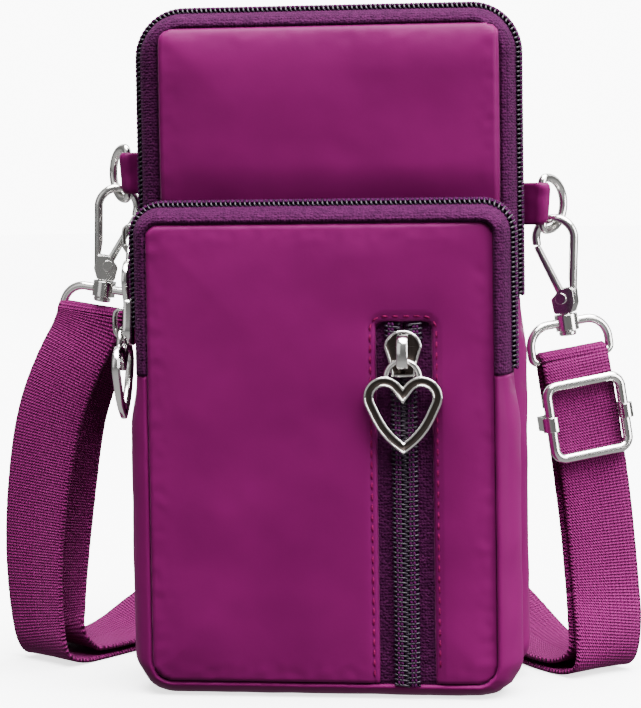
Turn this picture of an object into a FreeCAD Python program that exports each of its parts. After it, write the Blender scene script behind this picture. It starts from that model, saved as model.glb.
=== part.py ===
import FreeCAD, Part
import math
import os

# Phone pouch with two zipped compartments, a zipped front pocket and a clip-on strap
# Millimetres: X to the right, Y to the back, Z up, standing on Z = 0

V = FreeCAD.Vector

# Compartments
REAR_WIDTH = 104.0
REAR_HEIGHT = 183.6
FRONT_WIDTH = 101.6
FRONT_HEIGHT = 131.0
COMPARTMENT_DEPTH = 20.0
REAR_TOP_RADIUS = 12.5
FRONT_TOP_RADIUS = 8.0
BOTTOM_RADIUS = 12.0
SEAM_INSET = 4.8
PANEL_THICK = 1.2
TAPE_THICK = 1.0
GUSSET_THICK = 1.6
BOTTOM_FLAT = 0.7

# Curved zips
REAR_ZIP_DROP = 76.6
FRONT_ZIP_DROP = 45.0
REAR_LIP = 49.3
FRONT_LIP = 23.0
FOLD_GAP = 0.3
TAPE_GAP = 2.4
TOOTH_PITCH = 1.5
TOOTH_WIDTH = 0.5
TOOTH_HEIGHT = 1.3
BEAD_WIDTH = 2.3
TOOTH_REACH = 1.0
TOOTH_CLEAR = 0.12

# Pocket zip
POCKET_X = 22.4
WINDOW_WIDTH = 14.0
WINDOW_DROP = 31.0
WINDOW_RADIUS = 3.0
TAPE_LAP = 2.0
BAG_WIDTH = 48.0
BAG_WALL = 0.6
BAG_DEPTH = 4.4
BAG_RISE = 4.0

# Zip sliders
SLIDER_LENGTH = 12.4
SLIDER_WIDTH = 10.0
SLIDER_NECK = 6.6
BACK_PLATE_WIDTH = 8.0
TAPE_CURVE_ROOM = 0.8
PLATE_THICK = 1.1
SLIDER_CLEAR = 0.35
WEDGE_THICK = 1.7
WEDGE_START = 4.4
WEDGE_END = 1.4
SHOULDER = 4.2
FLANGE_THICK = 0.7
BRIDGE_WIDTH = 2.4
BRIDGE_LENGTH = 7.2
BRIDGE_WALL = 0.8
BRIDGE_RISE = 2.4
POCKET_SLIDER_DROP = 8.0
FRONT_SLIDER_RISE = 13.6
REAR_SLIDER_RISE = 14.5

# Heart pulls
PULL_WIRE = 0.75
PULL_CLEAR = 0.3
NECK_RADIUS = 4.45
HEART_LOBE = 5.6
HEART_SPREAD = 4.9
HEART_LENGTH = 20.6
HEART_BAND = 2.3
HEART_RIM = 0.6
HEART_THICK = 1.9
HEART_RECESS = 0.4

# Tabs and rings
TAB_HEIGHT = 12.7
TAB_THICK = 1.1
TAB_REACH = 6.15
TAB_ROLL_HEIGHT = 7.2
LEFT_TAB_RISE = 33.3
RIGHT_TAB_RISE = 23.4
TAB_INSET_Y = 2.6
RING_WIRE = 1.15
RING_HALF = 7.2
RING_DROP = 0.9
RING_STRAIGHT = 2.2
RING_CORNER = 1.6
RING_TURN = 53.0
RING_REST = 19.0
RING_CLEAR = 0.25

# Snap hooks
HOOK_WIRE = 1.2
HOOK_CLEAR = 0.3
LEFT_LEAN = 10.5
RIGHT_LEAN = 6.5
HOOK_TURN = -15.0
LOOP_RADIUS = 5.45
LOOP_OFFSET = -0.25
LOOP_HEIGHT = 21.0
NOSE_DROP = 1.4
BLOCK_LOW = -2.9
BLOCK_HIGH = 3.6
BLOCK_FOOT = 2.5
BLOCK_HEIGHT = 6.9
BLOCK_THICK = 5.0
SLOT_THICK = 2.4
SLOT_BACK = 1.2
PIVOT_HEIGHT = 4.2
RIVET_RADIUS = 0.9
RIVET_HEAD = 1.6
RIVET_HEAD_THICK = 0.5
GATE_THICK = 1.8
GATE_WIDTH = 1.9
GATE_EYE = 1.75
GATE_CLEAR = 0.3
SPRING_THICK = 0.35
SHANK_RADIUS = 1.5
SHANK_HEAD = 2.4
SHANK_HEAD_THICK = 1.1

# Strap eyes
LEFT_EYE_TURN = 12.0
RIGHT_EYE_TURN = 27.0
EYE_WIRE = 1.2
EYE_WIDTH = 24.0
EYE_HEIGHT = 9.6
EYE_CORNER = 6.0
EYE_LOW_CORNER = 1.6
COLLAR_RADIUS = 3.2
COLLAR_HEIGHT = 4.4
COLLAR_CLEAR = 0.4

# Strap and adjuster
STRAP_WIDTH = 20.0
STRAP_THICK = 1.3
STRAP_CLEAR = 0.15
STRAP_LEAN = 8.0
LEFT_SLACK = 2.2
FOLD_TAIL = 13.0
ADJUSTER_DROP = 17.0
FRAME_WIRE = 1.4
FRAME_HEIGHT = 20.0
FRAME_CORNER = 3.0
FRAME_CLEAR = 0.3
BAR_RADIUS = 1.0
EAR_WALL = 0.9
EAR_WIDTH = 4.0
EAR_MOUTH = 1.1

# Linings
LINING_INSET = 9.2
LINING_WALL = 0.5
LINING_GAP = 0.4
LINING_BELOW_FOLD = 6.0

# Places that follow from the sizes above
REAR_ZIP_END = REAR_HEIGHT - REAR_ZIP_DROP
FRONT_ZIP_END = FRONT_HEIGHT - FRONT_ZIP_DROP
REAR_FOLD = REAR_HEIGHT - REAR_LIP
FRONT_FOLD = FRONT_HEIGHT - FRONT_LIP
WINDOW_TOP = FRONT_HEIGHT - WINDOW_DROP
POCKET_SLIDER_Z = WINDOW_TOP - POCKET_SLIDER_DROP
FRONT_SLIDER_Z = FRONT_ZIP_END + FRONT_SLIDER_RISE
REAR_SLIDER_Z = REAR_ZIP_END + REAR_SLIDER_RISE
LEFT_TAB_Z = REAR_ZIP_END + LEFT_TAB_RISE
RIGHT_TAB_Z = REAR_ZIP_END + RIGHT_TAB_RISE
MID_FRONT = -PANEL_THICK / 2
MID_BACK = PANEL_THICK / 2
FRONT_FACE = -COMPARTMENT_DEPTH
BACK_FACE = COMPARTMENT_DEPTH
BAND_HALF = (COMPARTMENT_DEPTH - PANEL_THICK - MID_BACK) / 2
FRONT_CHAIN_Y = MID_FRONT - BAND_HALF
REAR_CHAIN_Y = MID_BACK + BAND_HALF
BAND_RADIUS = (SEAM_INSET ** 2 + BAND_HALF ** 2) / (2 * SEAM_INSET)
REAR_HALF = REAR_WIDTH / 2
FRONT_HALF = FRONT_WIDTH / 2
PLATE_FRONT = TOOTH_HEIGHT + SLIDER_CLEAR
PULL_AXIS_N = PLATE_FRONT + PLATE_THICK + PULL_WIRE + PULL_CLEAR
PULL_AXIS_S = -BRIDGE_LENGTH / 2 + BRIDGE_WALL + PULL_WIRE + PULL_CLEAR

os.makedirs("parts", exist_ok=True)
SHAPES = {}


def save(name, shape):
    solids = shape.Solids
    shape = solids[0] if len(solids) == 1 else Part.makeCompound(solids)
    SHAPES[name] = shape
    shape.exportStep("parts/%s.step" % name)
    print(name, "solids", len(solids), "volume", round(shape.Volume, 2), "valid", shape.isValid())


def join(pieces):
    whole = pieces[0].multiFuse(pieces[1:])
    return whole.removeSplitter()


def box(x0, x1, y0, y1, z0, z1):
    return Part.makeBox(x1 - x0, y1 - y0, z1 - z0, V(x0, y0, z0))


def arc(a, b, c):
    return Part.Arc(a, b, c).toShape()


def rounded_outline(half, low, high, r_low, r_high, y):
    # Upright rectangle with its own radius at the bottom and at the top corners
    k = math.sqrt(0.5)
    low_c, high_c = low + r_low, high - r_high
    xl, xh = half - r_low, half - r_high
    edges = [
        Part.makeLine(V(-xl, y, low), V(xl, y, low)),
        arc(V(xl, y, low), V(xl + k * r_low, y, low_c - k * r_low), V(half, y, low_c)),
        Part.makeLine(V(half, y, low_c), V(half, y, high_c)),
        arc(V(half, y, high_c), V(xh + k * r_high, y, high_c + k * r_high), V(xh, y, high)),
        Part.makeLine(V(xh, y, high), V(-xh, y, high)),
        arc(V(-xh, y, high), V(-xh - k * r_high, y, high_c + k * r_high), V(-half, y, high_c)),
        Part.makeLine(V(-half, y, high_c), V(-half, y, low_c)),
        arc(V(-half, y, low_c), V(-xl - k * r_low, y, low_c - k * r_low), V(-xl, y, low)),
    ]
    return Part.Wire(edges)


def panel(half, low, high, r_low, r_high, inset, y0, y1):
    wire = rounded_outline(half - inset, low + inset, high - inset, r_low - inset, r_high - inset, y0)
    return Part.Face(wire).extrude(V(0, y1 - y0, 0))


def band_face(place, y_mid, y0, y1, thick):
    # Curved strip of fabric between two concentric arcs; place turns inset and y into a point
    def outer(y):
        return BAND_RADIUS - math.sqrt(BAND_RADIUS ** 2 - y ** 2)

    def inner(y):
        return BAND_RADIUS - math.sqrt((BAND_RADIUS - thick) ** 2 - y ** 2)

    ym = (y0 + y1) / 2
    edges = [
        arc(place(outer(y0), y_mid + y0), place(outer(ym), y_mid + ym), place(outer(y1), y_mid + y1)),
        Part.makeLine(place(outer(y1), y_mid + y1), place(inner(y1), y_mid + y1)),
        arc(place(inner(y1), y_mid + y1), place(inner(ym), y_mid + ym), place(inner(y0), y_mid + y0)),
        Part.makeLine(place(inner(y0), y_mid + y0), place(outer(y0), y_mid + y0)),
    ]
    return Part.Face(Part.Wire(edges))


def band(half, edge_z, radius, split_z, y_mid, y0, y1, thick, upper):
    # One strip up the sides and round two corners: over the top, or under the bottom
    sign = 1 if upper else -1
    turn_z = edge_z - sign * radius
    side = band_face(lambda n, y: V(-half + n, y, split_z), y_mid, y0, y1, thick)
    left = side.extrude(V(0, 0, turn_z - split_z))
    start = band_face(lambda n, y: V(-half + n, y, turn_z), y_mid, y0, y1, thick)
    corner = start.revolve(V(-half + radius, 0, turn_z), V(0, 1, 0), 90 * sign)
    cross = band_face(lambda n, y: V(-half + radius, y, edge_z - sign * n), y_mid, y0, y1, thick)
    middle = cross.extrude(V(2 * (half - radius), 0, 0))
    mirrored = [s.mirror(V(0, 0, 0), V(1, 0, 0)) for s in (left, corner)]
    return join([left, corner, middle] + mirrored)


def above(shape, z):
    return shape.common(box(-200, 200, -200, 200, z, 400))


def between(shape, z0, z1):
    return shape.common(box(-200, 200, -200, 200, z0, z1))


# Panels
mid_outline = panel(REAR_HALF, 0, REAR_HEIGHT, BOTTOM_RADIUS, REAR_TOP_RADIUS, SEAM_INSET,
                    MID_FRONT, MID_BACK)
hem = box(-REAR_HALF + BOTTOM_RADIUS, REAR_HALF - BOTTOM_RADIUS, MID_FRONT, MID_BACK, 0, SEAM_INSET)
save("middle_panel", join([between(mid_outline, 0, REAR_FOLD - FOLD_GAP / 2), hem]))
save("rear_flap_panel", above(mid_outline, REAR_FOLD + FOLD_GAP / 2))
save("back_panel", panel(REAR_HALF, 0, REAR_HEIGHT, BOTTOM_RADIUS, REAR_TOP_RADIUS, SEAM_INSET,
                         BACK_FACE - PANEL_THICK, BACK_FACE))

front_outline = panel(FRONT_HALF, 0, FRONT_HEIGHT, BOTTOM_RADIUS, FRONT_TOP_RADIUS, SEAM_INSET,
                      FRONT_FACE, FRONT_FACE + PANEL_THICK)
WINDOW_LEFT = POCKET_X - WINDOW_WIDTH / 2
WINDOW_RIGHT = POCKET_X + WINDOW_WIDTH / 2
window = box(WINDOW_LEFT, WINDOW_RIGHT, FRONT_FACE - 1, FRONT_FACE + PANEL_THICK + 1, -1, WINDOW_TOP)
top_edges = [e for e in window.Edges
             if e.BoundBox.YLength > PANEL_THICK and e.BoundBox.ZMin > WINDOW_TOP - 1]
window = window.makeFillet(WINDOW_RADIUS, top_edges)
save("front_panel", between(front_outline, 0, FRONT_FOLD - FOLD_GAP / 2).cut(window))
save("front_flap_panel", above(front_outline, FRONT_FOLD + FOLD_GAP / 2))

# Gussets below the zips, flat where the pouch stands
full = BAND_HALF
rear_gusset = band(REAR_HALF, -BOTTOM_FLAT, BOTTOM_RADIUS, REAR_ZIP_END, REAR_CHAIN_Y,
                   -full, full, GUSSET_THICK, False)
save("rear_gusset", above(rear_gusset, 0))
front_gusset = band(FRONT_HALF, -BOTTOM_FLAT, BOTTOM_RADIUS, FRONT_ZIP_END, FRONT_CHAIN_Y,
                    -full, full, GUSSET_THICK, False)
save("front_gusset", above(front_gusset, 0))

# Zip tapes above the gussets, in a front and a back half with the split where the teeth meet
half_gap = TAPE_GAP / 2
rear_tape_front = band(REAR_HALF, REAR_HEIGHT, REAR_TOP_RADIUS, REAR_ZIP_END, REAR_CHAIN_Y,
                       -full, -half_gap, TAPE_THICK, True)
save("rear_flap_tape", above(rear_tape_front, REAR_FOLD + FOLD_GAP / 2))
save("rear_tape_front_ends", between(rear_tape_front, REAR_ZIP_END, REAR_FOLD - FOLD_GAP / 2))
rear_tape_back = band(REAR_HALF, REAR_HEIGHT, REAR_TOP_RADIUS, REAR_ZIP_END, REAR_CHAIN_Y,
                      half_gap, full, TAPE_THICK, True)
save("rear_tape_back", rear_tape_back)
front_tape_front = band(FRONT_HALF, FRONT_HEIGHT, FRONT_TOP_RADIUS, FRONT_ZIP_END, FRONT_CHAIN_Y,
                        -full, -half_gap, TAPE_THICK, True)
save("front_flap_tape", above(front_tape_front, FRONT_FOLD + FOLD_GAP / 2))
save("front_tape_front_ends", between(front_tape_front, FRONT_ZIP_END, FRONT_FOLD - FOLD_GAP / 2))
front_tape_back = band(FRONT_HALF, FRONT_HEIGHT, FRONT_TOP_RADIUS, FRONT_ZIP_END, FRONT_CHAIN_Y,
                       half_gap, full, TAPE_THICK, True)
save("front_tape_back", front_tape_back)


# Tooth rows
def zip_stations(half, top, radius, low):
    # Points every half pitch along the zip line, each with its outward direction
    side = top - radius - low
    turn = math.pi / 2 * radius
    across = 2 * (half - radius)
    total = 2 * side + 2 * turn + across
    count = int(total / (TOOTH_PITCH / 2))
    found = []
    for i in range(count + 1):
        s = total * i / count
        if s <= side:
            p, n = V(-half, 0, low + s), V(-1, 0, 0)
        elif s <= side + turn:
            a = (s - side) / radius
            n = V(-math.cos(a), 0, math.sin(a))
            p = V(-half + radius, 0, top - radius) + n * radius
        elif s <= side + turn + across:
            p, n = V(-half + radius + s - side - turn, 0, top), V(0, 0, 1)
        elif s <= side + 2 * turn + across:
            a = (s - side - turn - across) / radius
            n = V(math.sin(a), 0, math.cos(a))
            p = V(half - radius, 0, top - radius) + n * radius
        else:
            p, n = V(half, 0, top - radius - (s - side - 2 * turn - across)), V(1, 0, 0)
        found.append((p, n))
    return found


def tooth_row(stations, y_mid, toward_back, keep):
    # A bead along the tape edge with teeth that reach past the middle line
    sign = 1 if toward_back else -1
    start = y_mid + sign * (TOOTH_REACH / 2 + TOOTH_CLEAR)
    inner = [p for p, n in stations if keep(p)]
    outer = [p + n * TOOTH_HEIGHT for p, n in stations if keep(p)]
    ring = Part.makePolygon([V(p.x, start, p.z) for p in inner + outer[::-1] + inner[:1]])
    pieces = [Part.Face(ring).extrude(V(0, sign * BEAD_WIDTH, 0))]
    first = 0 if toward_back else 1
    for i, (p, n) in enumerate(stations):
        if i % 2 != first or i < 1 or i > len(stations) - 2:
            continue
        t = V(n.z, 0, -n.x) * (TOOTH_WIDTH / 2)
        corners = [p - t, p + t, p + t + n * TOOTH_HEIGHT, p - t + n * TOOTH_HEIGHT]
        if not all(keep(c) for c in corners):
            continue
        loop = Part.makePolygon([V(c.x, start, c.z) for c in corners + corners[:1]])
        pieces.append(Part.Face(loop).extrude(V(0, -sign * TOOTH_REACH, 0)))
    return join(pieces)


rear_line = zip_stations(REAR_HALF, REAR_HEIGHT, REAR_TOP_RADIUS, REAR_ZIP_END)
front_line = zip_stations(FRONT_HALF, FRONT_HEIGHT, FRONT_TOP_RADIUS, FRONT_ZIP_END)
WEDGE_LOW = SLIDER_LENGTH / 2 - WEDGE_START
MESH_GAP = 0.4


def rear_upper(p):
    return p.z > REAR_FOLD + FOLD_GAP


def rear_left_end(p):
    return p.x < 0 and REAR_SLIDER_Z - WEDGE_LOW + MESH_GAP < p.z < REAR_FOLD - FOLD_GAP


def rear_right_end(p):
    return p.x > 0 and p.z < REAR_FOLD - FOLD_GAP


def rear_back_run(p):
    return p.x > 0 or p.z > REAR_SLIDER_Z - WEDGE_LOW + MESH_GAP


def front_upper(p):
    return p.z > FRONT_FOLD + FOLD_GAP


def front_left_end(p):
    return p.x < 0 and FRONT_SLIDER_Z - WEDGE_LOW + MESH_GAP < p.z < FRONT_FOLD - FOLD_GAP


def front_right_end(p):
    return p.x > 0 and p.z < FRONT_FOLD - FOLD_GAP


def front_back_run(p):
    return p.x > 0 or p.z > FRONT_SLIDER_Z - WEDGE_LOW + MESH_GAP


save("rear_flap_teeth", tooth_row(rear_line, REAR_CHAIN_Y, False, rear_upper))
save("rear_teeth_front_ends", Part.makeCompound([
    tooth_row(rear_line, REAR_CHAIN_Y, False, rear_left_end),
    tooth_row(rear_line, REAR_CHAIN_Y, False, rear_right_end)]))
save("rear_teeth_back", tooth_row(rear_line, REAR_CHAIN_Y, True, rear_back_run))
save("front_flap_teeth", tooth_row(front_line, FRONT_CHAIN_Y, False, front_upper))
save("front_teeth_front_ends", Part.makeCompound([
    tooth_row(front_line, FRONT_CHAIN_Y, False, front_left_end),
    tooth_row(front_line, FRONT_CHAIN_Y, False, front_right_end)]))
save("front_teeth_back", tooth_row(front_line, FRONT_CHAIN_Y, True, front_back_run))

# Pocket zip: two tapes behind the window, two rows of teeth, and the bag behind them
PANEL_BACK = FRONT_FACE + PANEL_THICK
SEAM_LAP = BAND_RADIUS - math.sqrt((BAND_RADIUS - GUSSET_THICK) ** 2 - BAND_HALF ** 2) - BOTTOM_FLAT
TAPE_LOW = SEAM_LAP + 0.4
TAPE_TOP = WINDOW_TOP + TAPE_LAP
TAPE_BACK = PANEL_BACK + TAPE_THICK
save("pocket_tape_left",
     box(WINDOW_LEFT - TAPE_LAP, POCKET_X - half_gap, PANEL_BACK, TAPE_BACK, TAPE_LOW, TAPE_TOP))
save("pocket_tape_right",
     box(POCKET_X + half_gap, WINDOW_RIGHT + TAPE_LAP, PANEL_BACK, TAPE_BACK, TAPE_LOW, TAPE_TOP))

POCKET_TEETH_LOW = SEAM_INSET + 0.4
POCKET_TEETH_TOP = POCKET_SLIDER_Z + WEDGE_LOW - MESH_GAP


def pocket_row(side):
    # One comb, drawn in the plane of the zip and as thick as the teeth are tall
    root = POCKET_X + side * (TOOTH_REACH / 2 + TOOTH_CLEAR)
    count = int((POCKET_TEETH_TOP - POCKET_TEETH_LOW) / TOOTH_PITCH)
    points = [V(root + side * BEAD_WIDTH, 0, POCKET_TEETH_LOW), V(root, 0, POCKET_TEETH_LOW)]
    for i in range(count):
        z = POCKET_TEETH_LOW + TOOTH_PITCH * (i + (0.3 if side > 0 else 0.8))
        tip = root - side * TOOTH_REACH
        for x, dz in ((root, -1), (tip, -1), (tip, 1), (root, 1)):
            points.append(V(x, 0, z + dz * TOOTH_WIDTH / 2))
    points += [V(root, 0, POCKET_TEETH_TOP), V(root + side * BEAD_WIDTH, 0, POCKET_TEETH_TOP), points[0]]
    comb = Part.Face(Part.makePolygon(points)).extrude(V(0, TOOTH_HEIGHT, 0))
    comb.translate(V(0, PANEL_BACK - TOOTH_HEIGHT, 0))
    return comb


save("pocket_teeth_left", pocket_row(-1))
save("pocket_teeth_right", pocket_row(1))
bag_x = POCKET_X - BAG_WIDTH / 2 - WINDOW_WIDTH / 2
bag_back = PANEL_BACK + BAG_DEPTH
bag_top = WINDOW_TOP + BAG_RISE
bag_outer = box(bag_x, bag_x + BAG_WIDTH, PANEL_BACK, bag_back, TAPE_LOW, bag_top)
bag_inner = box(bag_x + BAG_WALL, bag_x + BAG_WIDTH - BAG_WALL, PANEL_BACK, bag_back - BAG_WALL,
                TAPE_LOW + BAG_WALL, bag_top - BAG_WALL)
bag_tapes = SHAPES["pocket_tape_left"].fuse(SHAPES["pocket_tape_right"])
save("pocket_bag", bag_outer.cut(bag_inner).cut(bag_tapes))

# Linings: open-topped sleeves inside the two compartments
for name, half, y_mid, fold in (("rear_lining", REAR_HALF, REAR_CHAIN_Y, REAR_FOLD),
                                ("front_lining", FRONT_HALF, FRONT_CHAIN_Y, FRONT_FOLD)):
    deep = BAND_HALF - LINING_GAP
    if name == "front_lining":
        front_y = PANEL_BACK + BAG_DEPTH + LINING_GAP
    else:
        front_y = y_mid - deep
    top = fold - LINING_BELOW_FOLD
    r = max(BOTTOM_RADIUS - LINING_INSET, 2.0)
    skin = rounded_outline(half - LINING_INSET, LINING_INSET, top + 20, r, 2.0, front_y)
    core = rounded_outline(half - LINING_INSET - LINING_WALL, LINING_INSET + LINING_WALL, top + 20,
                           r - LINING_WALL, 2.0 - LINING_WALL, front_y + LINING_WALL)
    sleeve = Part.Face(skin).extrude(V(0, y_mid + deep - front_y, 0))
    sleeve = sleeve.cut(Part.Face(core).extrude(V(0, y_mid + deep - front_y - 2 * LINING_WALL, 0)))
    save(name, between(sleeve, 0, top))


# Sliders: drawn across X, outward along -Y, with the open end up
def slider_body():
    half_n, half_l = SLIDER_NECK / 2, SLIDER_LENGTH / 2

    def plate(y, thick, width):
        w = width / 2
        widest = half_l - SHOULDER
        edges = [
            Part.makeLine(V(-half_n, y, -half_l), V(half_n, y, -half_l)),
            Part.makeLine(V(half_n, y, -half_l), V(w, y, widest)),
            arc(V(w, y, widest), V(w * 0.86, y, half_l - SHOULDER / 4), V(w * 0.42, y, half_l)),
            Part.makeLine(V(w * 0.42, y, half_l), V(-w * 0.42, y, half_l)),
            arc(V(-w * 0.42, y, half_l), V(-w * 0.86, y, half_l - SHOULDER / 4), V(-w, y, widest)),
            Part.makeLine(V(-w, y, widest), V(-half_n, y, -half_l)),
        ]
        return Part.Face(Part.Wire(edges)).extrude(V(0, -thick, 0))

    inside = TAPE_THICK + SLIDER_CLEAR + TAPE_CURVE_ROOM
    front = plate(-PLATE_FRONT, PLATE_THICK, SLIDER_WIDTH)
    back = plate(inside + PLATE_THICK, PLATE_THICK, BACK_PLATE_WIDTH)
    core = plate(-SLIDER_CLEAR, PLATE_FRONT - SLIDER_CLEAR, SLIDER_WIDTH)
    row_half = TOOTH_REACH / 2 + TOOTH_CLEAR + BEAD_WIDTH + SLIDER_CLEAR
    channel = box(-row_half, row_half, -PLATE_FRONT - 1, 1, -half_l - 1, half_l + 1)
    flanges = core.cut(channel)
    wedge = box(-WEDGE_THICK / 2, WEDGE_THICK / 2, -PLATE_FRONT, inside,
                half_l - WEDGE_START, half_l - WEDGE_END)
    long_edges = [e for e in wedge.Edges if e.BoundBox.YLength > WEDGE_THICK]
    wedge = wedge.makeFillet(WEDGE_THICK * 0.45, long_edges)
    face = -PLATE_FRONT - PLATE_THICK
    outer = box(-BRIDGE_WIDTH / 2, BRIDGE_WIDTH / 2, face - BRIDGE_RISE - BRIDGE_WALL, face,
                -BRIDGE_LENGTH / 2, BRIDGE_LENGTH / 2)
    outer = outer.makeFillet(1.2, [e for e in outer.Edges if e.BoundBox.XLength > 1
                                   and abs(e.BoundBox.YMin - (face - BRIDGE_RISE - BRIDGE_WALL)) < 0.01])
    hollow = box(-BRIDGE_WIDTH, BRIDGE_WIDTH, face - BRIDGE_RISE, face + 1,
                 -BRIDGE_LENGTH / 2 + BRIDGE_WALL, BRIDGE_LENGTH / 2 - BRIDGE_WALL)
    return join([front, back, wedge, flanges, outer.cut(hollow)])


def heart_wire(y):
    # Two round lobes and two straight sides that meet at a point below
    tip = HEART_LOBE - HEART_LENGTH
    notch = math.sqrt(HEART_LOBE ** 2 - HEART_SPREAD ** 2)
    reach = math.hypot(HEART_SPREAD, tip)
    slope = math.atan2(tip, -HEART_SPREAD)
    touch = slope + math.acos(HEART_LOBE / reach)
    tx = HEART_SPREAD + HEART_LOBE * math.cos(touch)
    tz = HEART_LOBE * math.sin(touch)
    mid = math.radians(50)
    mx, mz = HEART_SPREAD + HEART_LOBE * math.cos(mid), HEART_LOBE * math.sin(mid)
    edges = [
        arc(V(0, y, notch), V(mx, y, mz), V(tx, y, tz)),
        Part.makeLine(V(tx, y, tz), V(0, y, tip)),
        Part.makeLine(V(0, y, tip), V(-tx, y, tz)),
        arc(V(-tx, y, tz), V(-mx, y, mz), V(0, y, notch)),
    ]
    return Part.Wire(edges)


def heart_pull():
    # Drawn hanging from an axis along X through the origin
    drop = -(NECK_RADIUS - 0.5) - HEART_LOBE
    outline = Part.Face(heart_wire(-HEART_THICK / 2))
    hole = outline.makeOffset2D(-HEART_BAND)
    rim_in = outline.makeOffset2D(-HEART_RIM)
    rim_out = outline.makeOffset2D(-(HEART_BAND - HEART_RIM))
    through = hole.extrude(V(0, HEART_THICK, 0))
    plate = outline.extrude(V(0, HEART_THICK, 0)).cut(through)
    recess = rim_in.extrude(V(0, HEART_RECESS, 0)).cut(rim_out.extrude(V(0, HEART_RECESS, 0)))
    other = recess.copy()
    other.translate(V(0, HEART_THICK - HEART_RECESS, 0))
    heart = plate.cut(recess).cut(other)
    heart.translate(V(0, 0, drop))
    neck = Part.makeTorus(NECK_RADIUS, PULL_WIRE, V(0, 0, -NECK_RADIUS), V(0, 1, 0))
    neck = neck.common(box(-20, 20, -5, 5, -NECK_RADIUS - 0.4, 5))
    return join([heart, neck.cut(through.translated(V(0, 0, drop)))])


BODY = slider_body()
PULL = heart_pull()
PULL.translate(V(0, -PULL_AXIS_N, PULL_AXIS_S))


def place_pocket(shape):
    return shape.translated(V(POCKET_X, PANEL_BACK, POCKET_SLIDER_Z))


def place_left(shape, half, chain_y, z):
    turned = shape.rotated(V(0, 0, 0), V(0, 0, 1), -90)
    return turned.translated(V(-half, chain_y, z))


UPSIDE = BODY.rotated(V(0, 0, 0), V(0, 1, 0), 180)
save("pocket_slider", place_pocket(BODY))
save("pocket_pull", place_pocket(PULL))
save("front_slider", place_left(UPSIDE, FRONT_HALF, FRONT_CHAIN_Y, FRONT_SLIDER_Z))
save("front_pull", place_left(PULL, FRONT_HALF, FRONT_CHAIN_Y, FRONT_SLIDER_Z))
save("rear_slider", place_left(UPSIDE, REAR_HALF, REAR_CHAIN_Y, REAR_SLIDER_Z))
save("rear_pull", place_left(PULL, REAR_HALF, REAR_CHAIN_Y, REAR_SLIDER_Z))


# Tabs, rings, hooks and eyes, drawn on the right side
def pipe(path_edges, radius):
    path = Part.Wire(path_edges)
    first = path_edges[0]
    at = first.valueAt(first.FirstParameter)
    along = first.tangentAt(first.FirstParameter)
    section = Part.Wire([Part.makeCircle(radius, at, along)])
    return path.makePipeShell([section], True, True)


def frame_matrix(origin, x_dir, y_dir, z_dir):
    return FreeCAD.Matrix(x_dir.x, y_dir.x, z_dir.x, origin.x, x_dir.y, y_dir.y, z_dir.y, origin.y,
                          x_dir.z, y_dir.z, z_dir.z, origin.z, 0, 0, 0, 1)


def moved(shape, matrix):
    return shape.transformed(matrix)


def d_ring():
    # Upright bar along Z, bow towards +X
    h, s, c = RING_HALF, RING_STRAIGHT, RING_CORNER
    k = math.sqrt(0.5)
    edges = [
        Part.makeLine(V(0, 0, 0), V(0, 0, h - c)),
        arc(V(0, 0, h - c), V(c - c * k, 0, h - c + c * k), V(c, 0, h)),
        Part.makeLine(V(c, 0, h), V(s, 0, h)),
        arc(V(s, 0, h), V(s + h, 0, 0), V(s, 0, -h)),
        Part.makeLine(V(s, 0, -h), V(c, 0, -h)),
        arc(V(c, 0, -h), V(c - c * k, 0, -h + c - c * k), V(0, 0, -h + c)),
        Part.makeLine(V(0, 0, -h + c), V(0, 0, 0)),
    ]
    return pipe(edges, RING_WIRE)


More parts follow.
